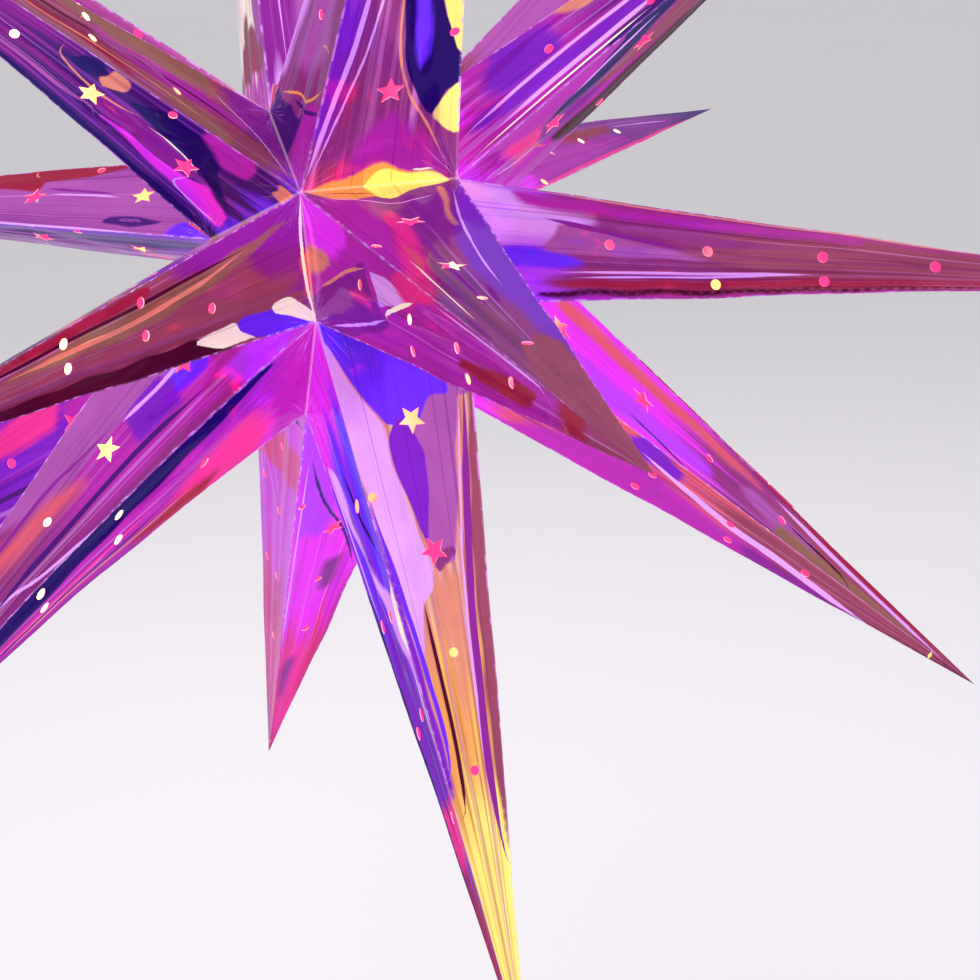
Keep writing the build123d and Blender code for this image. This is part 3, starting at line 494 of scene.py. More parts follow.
# How soft the edges of the foot's, the middle's and the tip's colours are, in metres, and how far they
# wander up the face, over its height
END_SOFTNESS = (0.012, 0.024, 0.020)
END_CLIMB = 0.012
# How far a patch's outline wanders across the face and up it, in metres
PATCH_SWAY = (0.0006, 0.0012)

# The share of a face's height over which its relief grows from nothing
RELIEF_START = 0.06
# The long waves of a face, and how far they may drift across it
WAVES = (2, 3, 5, 8)
WAVE_DRIFT = 1.2
# The creases of a face: how many, where up it and across it, their lean in radians, and their width and
# length in metres
CREASES = 9
CREASE_UP = (0.04, 0.62)
CREASE_ACROSS = 0.7
CREASE_LEAN = 0.30
CREASE_SPREAD = (0.004, 0.011)
CREASE_REACH = (0.012, 0.055)
# The gathers of a face's lower corners: how many to a radian, and where they fade and start, in metres
GATHERS = (5, 8)
GATHER_REACH = 0.024
GATHER_START = 0.006

# The points round the arch that lets the tube through, and the sideways shift of every other row
ARCH_POINTS = 12
ROW_SHIFT = 0.25
# How far a point keeps from a cut-out, over the spacing of the points
HOLE_MARGIN = 0.35
# The points of a rib's strip, and of each span of a patch's outline
RIB_POINTS = 9
SPAN_POINTS = 6
# The angle, in degrees, past which an edge stays sharp
FOLD_ANGLE = 33
# How far a spike may stand off the box of the frame's part that it replaces, in metres
TIP_TOLERANCE = 0.004


def round_axis(sizes, degrees, reach, along):
    """A point at an angle round the star's axis, counted from the top over the front."""
    angle = radians(degrees)
    return np.array([along, -reach * sin(angle), reach * cos(angle) - sizes.centre_drop])


def core_corner(sizes, number, side):
    """A corner of the core, where four spikes meet."""
    back, up = CORNER_LEANS.get((number % sizes.columns, side), (0.0, 0.0))
    place = round_axis(sizes, number * 360 / sizes.columns, sizes.core_radius, side * sizes.core_half_length)
    return place + [0.0, back, up]


def spike_corners(sizes, row, column):
    """The corners of a spike's mouth, anticlockwise seen from outside, and its tip."""
    step = 360 / sizes.columns
    middle = (column - 0.5) * step
    side = ROWS[row]
    if side == 0:
        places = ((column - 1, -1), (column, -1), (column, 1), (column - 1, 1))
        corners = [core_corner(sizes, number, end) for number, end in places]
        reach, out = sizes.middle_tip_reach, 0.0
    else:
        corners = [
            core_corner(sizes, column - 1, side), core_corner(sizes, column, side),
            round_axis(sizes, 0.0, 0.0, side * sizes.pole_out),
        ]
        corners = corners if side > 0 else corners[::-1]
        reach, out = sizes.side_tip_reach, side * sizes.side_tip_out
    round_lean, right_lean = TIP_LEANS.get((row, column), (0.0, 0.0))
    tip = round_axis(sizes, middle + round_lean / reach * 180 / pi, reach, out + right_lean)
    return np.array(corners), tip


def unit(vector):
    """The vector at length one."""
    return vector / np.linalg.norm(vector)


def seeded(*words):
    """A source of chance that is the same on every run for the same words."""
    seed = sum((place + 1) * 977 * ord(letter) for place, letter in enumerate("/".join(map(str, words))))
    return np.random.default_rng(seed)


# ---- A spike's surface ----

def ridge_curve(relief, corner, tip, axis_point, bend, up, chance):
    """A ridge from its corner (up 0) to the tip (up 1): a straight line, the spike's bend 4 u (1 - u),
    and two slow sine waves, square to the line, that fade to nothing at both ends."""
    line = tip - corner
    away = unit(np.cross(np.cross(line, corner - axis_point), line))
    wave = np.sin(2 * pi * (2.3 * up + chance.random())) + 0.6 * np.sin(2 * pi * (5.1 * up + chance.random()))
    offset = relief.ridge_wander / 1.6 * wave * np.sin(pi * up) * chance.uniform(0.4, 1.0)
    return corner + up[:, None] * line + offset[:, None] * away + (4 * up * (1 - up))[:, None] * bend


def face_relief(relief, across, up, half_width, height, chance):
    """How far the card stands off its flat face. It is the sum of a bow (1 - across^2) over the face,
    long waves that keep their place across the face all the way to the tip, tent-shaped creases along
    short random lines, and gathers that fan out of the two lower corners. All of it is nothing on the
    ridges and at the mouth."""
    narrow = 1 - up
    edge = 1 - across ** 2
    foot = np.clip(up / RELIEF_START, 0, 1)
    x, y = across * half_width * narrow, up * height
    total = relief.bulge * chance.choice([-1.0, 0.9]) * chance.uniform(0.5, 1.0) * narrow
    for waves in WAVES:
        drift = chance.uniform(-WAVE_DRIFT, WAVE_DRIFT)
        wave = np.sin(pi * waves * across + 2 * pi * (chance.random() + drift * up))
        total = total + relief.pleat * (2.4 / waves) * wave * np.sqrt(narrow)
    for _ in range(CREASES):
        middle_up = chance.uniform(*CREASE_UP)
        x0 = chance.uniform(-CREASE_ACROSS, CREASE_ACROSS) * half_width * (1 - middle_up)
        lean = chance.normal(0, CREASE_LEAN)
        gap = (x - x0) * cos(lean) - (y - middle_up * height) * sin(lean)
        run = (x - x0) * sin(lean) + (y - middle_up * height) * cos(lean)
        spread = chance.uniform(*CREASE_SPREAD)
        reach = chance.uniform(*CREASE_REACH)
        tent = np.clip(1 - np.abs(gap) / spread, 0, 1) * np.exp(-((run / reach) ** 2))
        total = total + relief.crease * chance.choice([-1.0, 1.0]) * chance.uniform(0.3, 1.0) * tent
    for side in (-1, 1):
        from_corner = np.hypot(x - side * half_width, y)
        angle = np.arctan2(y, side * half_width - x)
        fan = np.abs(((angle * chance.uniform(*GATHERS) + chance.random()) % 1) * 2 - 1) - 0.5
        gathered = relief.pucker * fan * np.exp(-((from_corner / GATHER_REACH) ** 2))
        total = total + gathered * np.clip(from_corner / GATHER_START, 0, 1)
    return total * edge * foot


def star_outline(cuts, place, turn):
    """Ten corners of a five-pointed star round a place, in turn at the outer and the inner radius."""
    corner = np.arange(10)
    radius = cuts.star_span / 2 * np.where(corner % 2 == 0, 1.0, cuts.star_waist)
    angle = turn + pi / 2 + corner * pi / 5
    return place + np.stack([radius * np.cos(angle), radius * np.sin(angle)], axis=1)


def dot_outline(cuts, place):
    """Points evenly round a circle."""
    angle = np.arange(cuts.dot_sides) * 2 * pi / cuts.dot_sides
    return place + cuts.dot_radius * np.stack([np.cos(angle), np.sin(angle)], axis=1)


def cut_outs(cuts, pattern, half_width, height, chance):
    """The outlines of a face's holes in its own flat plane, with each one's middle and reach."""
    found = []
    for kind, places in pattern.items():
        for up, across in places:
            up = up + chance.uniform(-1, 1) * cuts.wander
            across = across + chance.uniform(-1, 1) * 2 * cuts.wander
            place = np.array([across * half_width * (1 - up), up * height])
            if kind == "stars":
                turn = chance.uniform(-0.3, 0.3)
                found.append((star_outline(cuts, place, turn), place, cuts.star_span / 2))
            else:
                found.append((dot_outline(cuts, place), place, cuts.dot_radius))
    return found


def foot_line(relief, half_width, notch):
    """A face's foot from left to right: a straight line, or one with an arch that lets the tube through."""
    steps = max(2, round(2 * half_width / relief.step))
    if not notch:
        across = np.linspace(-half_width, half_width, steps + 1)
        return np.stack([across, np.zeros_like(across)], axis=1)
    left = np.linspace(-half_width, -notch[0], steps // 2)
    turn = np.linspace(pi, 0, ARCH_POINTS + 2)[1:-1]
    arch = np.stack([notch[0] * np.cos(turn), notch[1] * np.sin(turn)], axis=1)
    straight = np.stack([left, np.zeros_like(left)], axis=1)
    return np.concatenate([straight, arch, straight[::-1] * [-1, 1]])


def row_points(relief, ups, half_width, height):
    """The points inside a face: rows that narrow to the tip, every other one shifted sideways."""
    found = []
    for number, up in enumerate(ups):
        width = half_width * (1 - up)
        count = int(2 * width / relief.step)
        shift = ROW_SHIFT * (-1) ** number
        x = (np.arange(1, count) + shift) * 2 * width / count - width if count > 1 else np.zeros(0)
        found.append(np.stack([x, np.full_like(x, up * height)], axis=1))
    return np.concatenate(found)


def triangulated(loops, inner):
    """The points of closed loops and those between them, and triangles that keep every loop's edges."""
    edges, first = [], 0
    for loop in loops:
        here = np.arange(len(loop))
        edges += (first + np.stack([here, (here + 1) % len(loop)], axis=1)).tolist()
        first += len(loop)
    found = delaunay_2d_cdt(np.concatenate([*loops, inner]).tolist(), edges, [], 2, 1e-9)
    return np.array([point[:] for point in found[0]]), np.array(found[2])


def flat_face(cuts, relief, pattern, half_width, height, notch, chance):
    """A face as flat triangles between its foot, its two ridges and its holes, and its foot alone."""
    foot = foot_line(relief, half_width, notch)
    ups = np.arange(1, relief.rows) / relief.rows
    right_ridge = np.stack([half_width * (1 - ups), ups * height], axis=1)
    outline = np.concatenate([foot, right_ridge, [[0.0, height]], (right_ridge * [-1, 1])[::-1]])
    inner = row_points(relief, ups, half_width, height)
    keep = np.ones(len(inner), bool)
    holes = cut_outs(cuts, pattern, half_width, height, chance)
    for _, place, reach in holes:
        keep &= np.hypot(*(inner - place).T) > reach + relief.step * HOLE_MARGIN
    if notch:
        keep &= np.hypot(*(inner / (np.array(notch) + relief.step / 2)).T) > 1
    flat, triangles = triangulated([outline, *(hole for hole, _, _ in holes)], inner[keep])
    middles = flat[triangles].mean(axis=1)
    for hole, _, _ in holes:
        closed = ~inside(middles, hole)
        triangles, middles = triangles[closed], middles[closed]
    return flat, triangles, foot


def flat_place(numbers, half_width, height):
    """Places in hundredths, across and up by turns, as places on the flat face in metres."""
    across, up = np.array(numbers, float).reshape(-1, 2).T / 100
    return np.stack([across * half_width * (1 - up), up * height], axis=1)


def curve_through(points, closed, slack):
    """A cardinal spline through points: each span is the cubic whose slope at a point is the slack times
    the way from the point before it to the point after it."""
    before = np.roll(points, 1, axis=0) if closed else np.concatenate([points[:1], points[:-1]])
    after = np.roll(points, -1, axis=0) if closed else np.concatenate([points[1:], points[-1:]])
    ends = np.roll(after, -1, axis=0) if closed else np.concatenate([after[1:], points[-1:]])
    spans = len(points) if closed else len(points) - 1
    t = np.linspace(0, 1, SPAN_POINTS + 1)[:-1, None, None]
    p0, p1, p2, p3 = before[:spans], points[:spans], after[:spans], ends[:spans]
    leave, arrive = slack * (p2 - p0), slack * (p3 - p1)
    square, cube = 3 * (p2 - p1) - 2 * leave - arrive, 2 * (p1 - p2) + leave + arrive
    curve = p1 + leave * t + square * t ** 2 + cube * t ** 3
    curve = curve.transpose(1, 0, 2).reshape(-1, 2)
    return curve if closed else np.concatenate([curve, points[-1:]])


def span_offsets(places, starts, ends):
    """From every place to every span: how far along it, how far off its line, and the true distance."""
    way = ends - starts
    run = np.linalg.norm(way, axis=1) + 1e-12
    way = way / run[:, None]
    gap = places[:, None] - starts[None]
    along = (gap * way).sum(axis=2)
    off = way[:, 0] * gap[:, :, 1] - way[:, 1] * gap[:, :, 0]
    past = along - np.clip(along, 0, run)
    return along, off, np.hypot(off, past), run


def inside(places, loop):
    """Which places lie inside a closed loop: those whose rightward ray crosses it an odd number of times."""
    x, y = places[:, :1], places[:, 1:]
    x0, y0 = loop[:, 0], loop[:, 1]
    x1, y1 = np.roll(loop, -1, axis=0).T
    crossed = (y0 > y) != (y1 > y)
    rise = np.where(y1 == y0, 1e-12, y1 - y0)
    return (crossed & (x < x0 + (y - y0) * (x1 - x0) / rise)).sum(axis=1) % 2 == 1


def patch_field(places, numbers, half_width, height):
    """How far inside a patch each place is, in metres, and outside as a negative number."""
    loop = curve_through(flat_place(numbers, half_width, height), True, 0.18)
    distance = span_offsets(places, loop, np.roll(loop, -1, axis=0))[2].min(axis=1)
    return np.where(inside(places, loop), distance, -distance)


def stripe_fields(places, stripe, half_width, height):
    """How far each place is off a stripe's middle line, to one side or the other, and half the stripe's
    width there, which narrows to its ends and falls below nothing past them."""
    _, half, numbers = stripe
    line = curve_through(flat_place(numbers, half_width, height), False, 0.5)
    along, off, distance, run = span_offsets(places, line[:-1], line[1:])
    near = distance.argmin(axis=1)
    row = np.arange(len(places))
    before = np.concatenate([[0.0], np.cumsum(run)])
    reached = before[near] + along[row, near]
    to_end = np.minimum(reached, before[-1] - reached)
    width = half / 1000 * np.clip(to_end / (STRIPE_TAPER * before[-1]), -20, 1)
    side = np.where(off[row, near] < 0, -1.0, 1.0)
    return side * distance[row, near], width


def film_of(row, column, edge):
    """The film of a face: what the list says, or a draw from the film's colours."""
    if (row, column, edge) in FILMS:
        return FILMS[(row, column, edge)]
    chance = seeded("film", row, column, edge)
    ground, middle, low_ground = map(str, chance.choice(GROUNDS, 3, replace=False))
    accents = list(map(str, chance.choice(ACCENTS, 7, replace=False)))
    side = int(chance.choice([-1, 1]))
    low, wide, high = (int(value) for value in chance.uniform((20, 18, 60), (45, 40, 85)))
    edge_band = (
        side * 106, -2, side * 104, high, side * (100 - wide), high + 6, side * (96 - wide), 30, side * 70, 4,
    )
    lobe = (-50 * side, 3, -30 * side, low, 6 * side, low + 9, 28 * side, low - 4, 12 * side, 8)
    eye = (-40 * side, high - 8, -10 * side, high + 2, 30 * side, high - 2, 44 * side, high - 9, 0, high - 14)
    foot = (-80 * side, -2, -40 * side, wide // 3, 10 * side, wide // 4, 50 * side, -2)
    far_eye = tuple(number if place % 2 else -0.6 * number for place, number in enumerate(eye))
    patches = (
        (accents[0], 1.4, edge_band), (low_ground, 5.0, lobe), (accents[1], 1.0, eye),
        (accents[2], 3.0, foot), (accents[3], 0.9, far_eye),
    )
    lean = chance.uniform(-20, 20)
    stripes = (
        (accents[4], 1.1, (side * 64, 5, side * (50 + lean), 40, side * 58, 90)),
        ("lilac", 0.5, (side * -70, 4, side * (-46 + lean), 34, side * -60, 80)),
        (accents[5], 0.8, (side * -20, 30, side * (lean - 8), 60, side * -20, 95)),
    )
    return ground, (accents[6], 5), (middle, low + 14), (str(chance.choice(GROUNDS)), high), patches, stripes


def film_fields(film, flat, across, up, half_width, height, chance):
    """The fields of a face's film at its points: how far into each patch, in that patch's softness; each
    stripe's two fields in millimetres; and how far past the foot's, the middle's and the tip's edges."""
    _, root, middle, tip, patches, stripes = film
    sway = PATCH_SWAY[0] * np.sin(60 * flat[:, 1] / height + 6 * chance.random()) * (1 - up)
    climb = PATCH_SWAY[1] * np.sin(9 * across + 6 * chance.random())
    places = flat + np.stack([sway, climb], axis=1)
    patch_fields = np.full((len(up), PATCH_COUNT), FAR_OUTSIDE)
    for number, (_, softness, numbers) in enumerate(patches):
        field = patch_field(places, numbers, half_width, height)
        patch_fields[:, number] = np.clip(field / (softness / 1000), FAR_OUTSIDE, -FAR_OUTSIDE)
    line_fields = np.tile(NO_STRIPE, (len(up), STRIPE_COUNT))
    for number, stripe in enumerate(stripes):
        gap, width = stripe_fields(flat, stripe, half_width, height)
        line_fields[:, 2 * number] = gap * 1000
        line_fields[:, 2 * number + 1] = width * 1000
    climb = END_CLIMB * np.sin(2 * pi * (1.1 * across + chance.random()))
    past = (root[1] / 100 - up - climb, up + 2 * climb - middle[1] / 100, up + 2 * climb - tip[1] / 100)
    end_fields = [np.clip(way * height / softness, -1, 1) for way, softness in zip(past, END_SOFTNESS)]
    return patch_fields, line_fields, np.stack(end_fields, axis=1)


class Surface:
    """A surface as it grows: points, triangles and the film that each carries."""
    LAYERS = ("face_place", "patch_low", "patch_high", "stripe_low", "stripe_high", "ends")

    def __init__(self):
        self.points, self.triangles, self.films = [], [], []
        self.fields = {layer: [] for layer in self.LAYERS}
        self.count = 0

    def add(self, points, triangles, places, fields, film):
        """Adds points with their place on the face, their film's fields, and triangles of one film."""
        patches, stripes, ends = fields
        layers = (places, patches[:, :4], patches[:, 4:], stripes[:, :4], stripes[:, 4:], ends)
        for kept, layer in zip(self.fields.values(), layers):
            kept.append(layer)
        self.points.append(points)
        self.triangles.append(triangles + self.count)
        self.films.append(np.tile(film, (len(triangles), 1)))
        self.count += len(points)

    def mesh(self, name):
        """A mesh with its double points merged, that carries the fields and the numbers of its colours."""
        points = np.concatenate(self.points)
        triangles = np.concatenate(self.triangles)
        films = np.concatenate(self.films)
        _, first, merged = np.unique(np.round(points, 6), axis=0, return_index=True, return_inverse=True)
        corners = merged.reshape(-1)[triangles]
        kept = (corners != np.roll(corners, -1, axis=1)).all(axis=1)
        mesh = bpy.data.meshes.new(name)
        mesh.from_pydata(points[first].tolist(), [], corners[kept].tolist())
        source = triangles[kept].reshape(-1)
        for layer, values in self.fields.items():
            values = np.concatenate(values)[source]
            kind, field = ("FLOAT_COLOR", "color") if values.shape[1] == 4 else ("FLOAT_VECTOR", "vector")
            fill(mesh, layer, kind, "CORNER", field, values)
        for number in range(LAYER_COUNT // 4):
            numbers = films[kept][:, 4 * number:4 * number + 4]
            fill(mesh, f"film_{number}", "FLOAT_COLOR", "FACE", "color", numbers)
        smooth_with_folds(mesh)
        return mesh


def film_layers(film):
    """The numbers of a film's colours: its ground, its patches, its foot, middle and tip, its stripes."""
    ground, root, middle, tip, patches, stripes = film
    over = [patch[0] for patch in patches] + [ground] * (PATCH_COUNT - len(patches))
    lines = [stripe[0] for stripe in stripes] + [ground] * (STRIPE_COUNT - len(stripes))
    palette = list(FoilColours.__annotations__)
    names = [ground, *over, root[0], middle[0], tip[0], *lines]
    return np.array([(palette.index(name) + 0.5) / len(palette) for name in names])


def plain_fields(count):
    """The fields of a strip that shows only its film's foot."""
    patches = np.full((count, PATCH_COUNT), FAR_OUTSIDE)
    stripes = np.tile(NO_STRIPE, (count, STRIPE_COUNT))
    return patches, stripes, np.tile([1.0, -1.0, -1.0], (count, 1))


def face_places(across, up, seed):
    """Places on a face, across it from -1 to 1 and up it from 0 to 1, with the face's own number."""
    return np.stack([across, up, np.full_like(up, seed)], axis=1)


def fill(mesh, name, kind, domain, field, values):
    """Puts an array into a new attribute of a mesh."""
    data = mesh.attributes.new(name, kind, domain).data
    data.foreach_set(field, np.asarray(values, np.float32).reshape(-1))


def smooth_with_folds(mesh):
    """Smooths a mesh but for its folds and its open edges."""
    mesh.polygons.foreach_set("use_smooth", np.ones(len(mesh.polygons), bool))
    mesh.set_sharp_from_angle(angle=radians(FOLD_ANGLE))
    loop_edges = np.zeros(len(mesh.loops), np.int32)
    mesh.loops.foreach_get("edge_index", loop_edges)
    sharp = np.zeros(len(mesh.edges), bool)
    mesh.edges.foreach_get("use_edge_sharp", sharp)
    sharp |= np.bincount(loop_edges, minlength=len(mesh.edges)) == 1
    mesh.edges.foreach_set("use_edge_sharp", sharp)


def strip(count):
    """The triangles between two lines of so many points, the second's coming after the first's."""
    here = np.arange(count - 1)
    return np.concatenate([
        np.stack([here + 1, here, here + count], axis=1),
        np.stack([here + 1, here + count, here + count + 1], axis=1),
    ])


def spike_mesh(scene, row, column):
    """A spike: one curved face on each edge of its mouth, between two ridges that meet at the tip, with a
    flat lip folded in behind each edge, and the closing rib on the edges at the seam. A face is the blend
    of its two ridges by its place across, and its relief stands square to its flat plane."""
    sizes, cuts, relief = scene.star_sizes, scene.cut_out_sizes, scene.foil_relief
    corners, tip = spike_corners(sizes, row, column)
    mouth = corners.mean(axis=0)
    tip = tip - unit(tip - mouth) * sizes.tip_blunt
    seam_side = {1: -1, sizes.columns: 1}.get(column)
    bend = np.array(SPIKE_BENDS.get((row, column), (0.0, 0.0, 0.0)))
    surface = Surface()
    for edge, start in enumerate(corners):
        next_edge = (edge + 1) % len(corners)
        end = corners[next_edge]
        foot_middle = (start + end) / 2
        x_way = unit(end - start)
        normal = unit(np.cross(x_way, tip - foot_middle))
        height = np.dot(tip - foot_middle, np.cross(normal, x_way))
        half_width = np.linalg.norm(end - start) / 2
        at_seam = seam_side and abs(start[1]) + abs(end[1]) < sizes.card
        notch = None
        if at_seam and row == "middle":
            slope = abs((tip - foot_middle)[1]) / height
            notch = (sizes.tube_hole, sizes.tube_hole / slope)
        chance = seeded(row, column, edge)
        pattern = DOTTED if edge in DOTTED_EDGES[row] else STARRED
        flat, triangles, foot = flat_face(cuts, relief, pattern, half_width, height, notch, chance)
        up = np.clip(flat[:, 1] / height, 0, 1)
        width = half_width * (1 - up)
        across = np.clip(np.where(width > 1e-5, flat[:, 0] / np.maximum(width, 1e-5), 0), -1, 1)
        left, right = (
            ridge_curve(relief, corner, tip, mouth, bend, up, seeded("ridge", row, column, number))
            for corner, number in ((start, edge), (end, next_edge))
        )
        blend = (across[:, None] + 1) / 2
        points = left * (1 - blend) + right * blend
        points = points + face_relief(relief, across, up, half_width, height, chance)[:, None] * normal
        film = film_of(row, column, edge)
        seed = chance.uniform(0, 50)
        layers = film_layers(film)
        fields = film_fields(film, flat, across, up, half_width, height, chance)
        surface.add(points, triangles, face_places(across, up, seed), fields, layers)
        for line in straight_feet(foot, notch):
            top = foot_middle + line[:, :1] * x_way
            add_lip(surface, sizes, line[:, 0] / half_width, top, seed, layers)
        if at_seam:
            add_rib(surface, sizes, start, end, seam_side, notch, seed, layers)
    return surface.mesh(f"{row}_spike_{column}")


def straight_feet(foot, notch):
    """The straight stretches of a face's foot: the whole of it, or what is on each side of its arch."""
    if notch is None:
        return [foot]
    level = foot[foot[:, 1] < 1e-9]
    return [level[level[:, 0] <= -notch[0]], level[level[:, 0] >= notch[0]]]


def add_lip(surface, sizes, across, top, seed, layers):
    """The lip behind a fold: a flat strip from the fold towards the middle of the star."""
    middle = np.array([0.0, 0.0, -sizes.centre_drop])
    low = middle + (top - middle) * (1 - sizes.lip / sizes.core_radius)
    count = 2 * len(top)
    places = face_places(np.tile(across, 2), np.zeros(count), seed)
    surface.add(np.concatenate([top, low]), strip(len(top)), places, plain_fields(count), layers)


def seam_up(sizes, start, end):
    """The way that the closing rib stands off a fold in the seam's plane."""
    up = np.cross([0.0, 1.0, 0.0], unit(end - start))
    away = (start + end) / 2 + np.array([0.0, 0.0, sizes.centre_drop])
    return up if np.dot(up, away) > 0 else -up


def add_rib(surface, sizes, start, end, side, notch, seed, layers):
    """One leaf of the closing rib: a flat strip that stands on the seam's fold, cut square for the tube."""
    if end[0] < start[0]:
        start, end = end, start
    along, up = unit(end - start), seam_up(sizes, start, end)
    run = np.linalg.norm(end - start)
    half = run / 2
    gap = notch[0] if notch else 0.0
    pieces = [(0.0, half - gap), (half + gap, run)] if notch else [(0.0, run)]
    outside = np.array([0.0, side * sizes.card, 0.0])
    for first, last in pieces:
        share_along = np.linspace(0, 1, RIB_POINTS)
        low_run = first + (last - first) * share_along
        high_first = first + (sizes.rib_shy if first == 0.0 else 0.0)
        high_last = last - (sizes.rib_shy if last == run else 0.0)
        high_run = high_first + (high_last - high_first) * share_along
        low = start + low_run[:, None] * along + outside
        high = start + high_run[:, None] * along + up * sizes.rib + outside
        places = face_places(np.tile(share_along, 2), np.repeat([0.0, 0.1], RIB_POINTS), seed)
        points = np.concatenate([low, high])
        triangles = strip(RIB_POINTS)
        corner, after, before = points[triangles[0]]
        if np.cross(after - corner, before - corner)[1] * side < 0:
            triangles = triangles[:, ::-1]
        surface.add(points, triangles, places, plain_fields(2 * RIB_POINTS), layers)


# ---- The turned fittings ----
TUBE_SIDES = 48
TUBE_ROWS = 12         # to each turn of the tube's thread
CAP_SIDES = 80
CAP_ROWS = 80
GRIP_ROWS = 40
RIB_SIDES = 12         # to each rib of the cord grip
GROOVE_SHARPNESS = 2.2
# Where the grip's grooves end, as shares down from its top
GROOVE_ENDS = (0.10, 0.93)
# What the grooves spare for the screw: how far round it in radians, and the share down from the top
SCREW_FLAT = (0.62, 0.42)


def turned_mesh(name, radius, height):
    """A turned piece, by the way along its profile and the angle a round its axis: the points
    (r cos a, r sin a, z). The profile runs down the outside and up the bore, and closes on itself."""
    rows, around = radius.shape
    angle = np.arange(around) * 2 * pi / around
    level = np.repeat(height, around).reshape(rows, around)
    points = np.stack([radius * np.cos(angle), radius * np.sin(angle), level], axis=2)
    here = np.arange(rows * around).reshape(rows, around)
    below, right = np.roll(here, -1, axis=0), np.roll(here, -1, axis=1)
    quads = np.stack([here, below, np.roll(below, -1, axis=1), right], axis=2).reshape(-1, 4)
    mesh = bpy.data.meshes.new(name)
    mesh.from_pydata(points.reshape(-1, 3).tolist(), [], quads.tolist())
    smooth_with_folds(mesh)
    return mesh


def thread_depth(height, around, pitch, sharp):
    """How deep a right-hand thread is cut at every height and angle a, from 0 at its crest to 1 at its
    root. With t = z / pitch - a / 2 pi, a rolled thread is (1 - cos 2 pi t) / 2, and a sharp one is a
    triangle wave of t with its crest and its root cut flat."""
    turns = height[:, None] / pitch - np.arange(around) / around
    if sharp:
        return np.clip((1 - np.abs(2 * (turns % 1) - 1)) * 1.3 - 0.15, 0, 1)
    return (1 - np.cos(2 * pi * turns)) / 2


def tube_mesh(threads, low, high):
    """The threaded tube: a metric thread outside and a plain bore."""
    height = np.linspace(high[2], low[2], round((high[2] - low[2]) / threads.tube_pitch * TUBE_ROWS))
    outside = high[0] - threads.tube_depth * thread_depth(height, TUBE_SIDES, threads.tube_pitch, True)
    radius = np.concatenate([outside, np.full((2, TUBE_SIDES), threads.tube_bore)])
    return turned_mesh("tube", radius, np.concatenate([height, [low[2], high[2]]]))


def lamp_cap_mesh(threads, low, high):
    """The lamp's cap: a round thread rolled in thin sheet, the same inside as out."""
    height = np.linspace(high[2], low[2], CAP_ROWS)
    outside = high[0] - threads.lamp_depth * thread_depth(height, CAP_SIDES, threads.lamp_pitch, False)
    radius = np.concatenate([outside, outside[::-1] - threads.lamp_wall])
    return turned_mesh("lamp_cap", radius, np.concatenate([height, height[::-1]]))


def shell_mesh(threads, low, high):
    """The holder's shell: plain where the insert holds it, with a round thread on its inner side."""
    height = np.linspace(high[2], low[2], CAP_ROWS)
    thread = threads.shell_depth * thread_depth(height, CAP_SIDES, threads.lamp_pitch, False)
    radius = np.concatenate([np.full_like(thread, high[0]), (threads.shell_bore + thread)[::-1]])
    return turned_mesh("shell", radius, np.concatenate([height, height[::-1]]))


def grip_mesh(threads, low, high):
    """The cord grip: a cone with upright grooves that fade at its ends and round its screw, over a
    bore for the cord and a wider socket for the tube. A groove is |sin(n a / 2)| cut at a level."""
    around = RIB_SIDES * threads.grip_ribs
    angle = np.arange(around) * 2 * pi / around
    share_down = np.concatenate([[0.0], np.linspace(threads.grip_edge / (high[2] - low[2]), 1, GRIP_ROWS)])
    height = high[2] - share_down * (high[2] - low[2])
    cone = threads.grip_top + share_down * (high[0] - threads.grip_top)
    cone[0] -= threads.grip_edge
    window = np.clip(np.minimum(share_down - GROOVE_ENDS[0], GROOVE_ENDS[1] - share_down) / 0.04, 0, 1)
    from_screw = np.abs((angle - 1.5 * pi + pi) % (2 * pi) - pi)
    flat_round, flat_down = SCREW_FLAT
    spared = 1 - np.clip((flat_round - from_screw) / 0.2, 0, 1)[None] * (share_down < flat_down)[:, None]
    groove = np.clip(1 - GROOVE_SHARPNESS * np.abs(np.sin(threads.grip_ribs * angle / 2)), 0, 1)
    outside = cone[:, None] - threads.grip_depth * window[:, None] * spared * groove
    shoulder = low[2] + threads.grip_socket
    bore = np.repeat([threads.tube_radius, threads.cord_bore], 2 * around).reshape(4, around)
    height = np.concatenate([height, [low[2], shoulder, shoulder, high[2]]])
    return turned_mesh("grip", np.concatenate([outside, bore]), height)


def stand_for(scene, node, mesh, material, body):
    """Puts a modelled piece in the place of a part of the frame."""
    piece = bpy.data.objects.new(f"modelled_{node}", mesh)
    scene.collection.objects.link(piece)
    mesh.materials.append(material)
    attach(piece, body)
    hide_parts(node)


# ---- Shader building ----

def put(tree, kind, inputs=(), **settings):
    """Adds a node, sets its options, and fills or links its inputs by name or number."""
    node = tree.nodes.new(kind)
    for name, value in settings.items():
        setattr(node, name, value)
    for name, value in dict(inputs).items():
        socket = node.inputs[name]
        if isinstance(value, bpy.types.NodeSocket):
            tree.links.new(value, socket)
        else:
            socket.default_value = value
    return node


def maths(tree, operation, first, second=0.0):
    """A Math node's result."""
    return put(tree, "ShaderNodeMath", {0: first, 1: second}, operation=operation).outputs[0]


def times(tree, first, second):
    """The product of two values."""
    return maths(tree, "MULTIPLY", first, second)


def ramp(tree, value, low, high, to_low=0.0, to_high=1.0):
    """A value carried smoothly from one range to another."""
    node = put(tree, "ShaderNodeMapRange", {
        "Value": value, "From Min": low, "From Max": high, "To Min": to_low, "To Max": to_high,
    }, interpolation_type="SMOOTHSTEP")
    return node.outputs["Result"]


def lay_over(tree, mask, under, over, blend="MIX"):
    """One colour laid over another, or blended into it, by a mask."""
    node = put(tree, "ShaderNodeMix", {0: mask, 6: under, 7: over}, data_type="RGBA", blend_type=blend)
    return node.outputs[2]


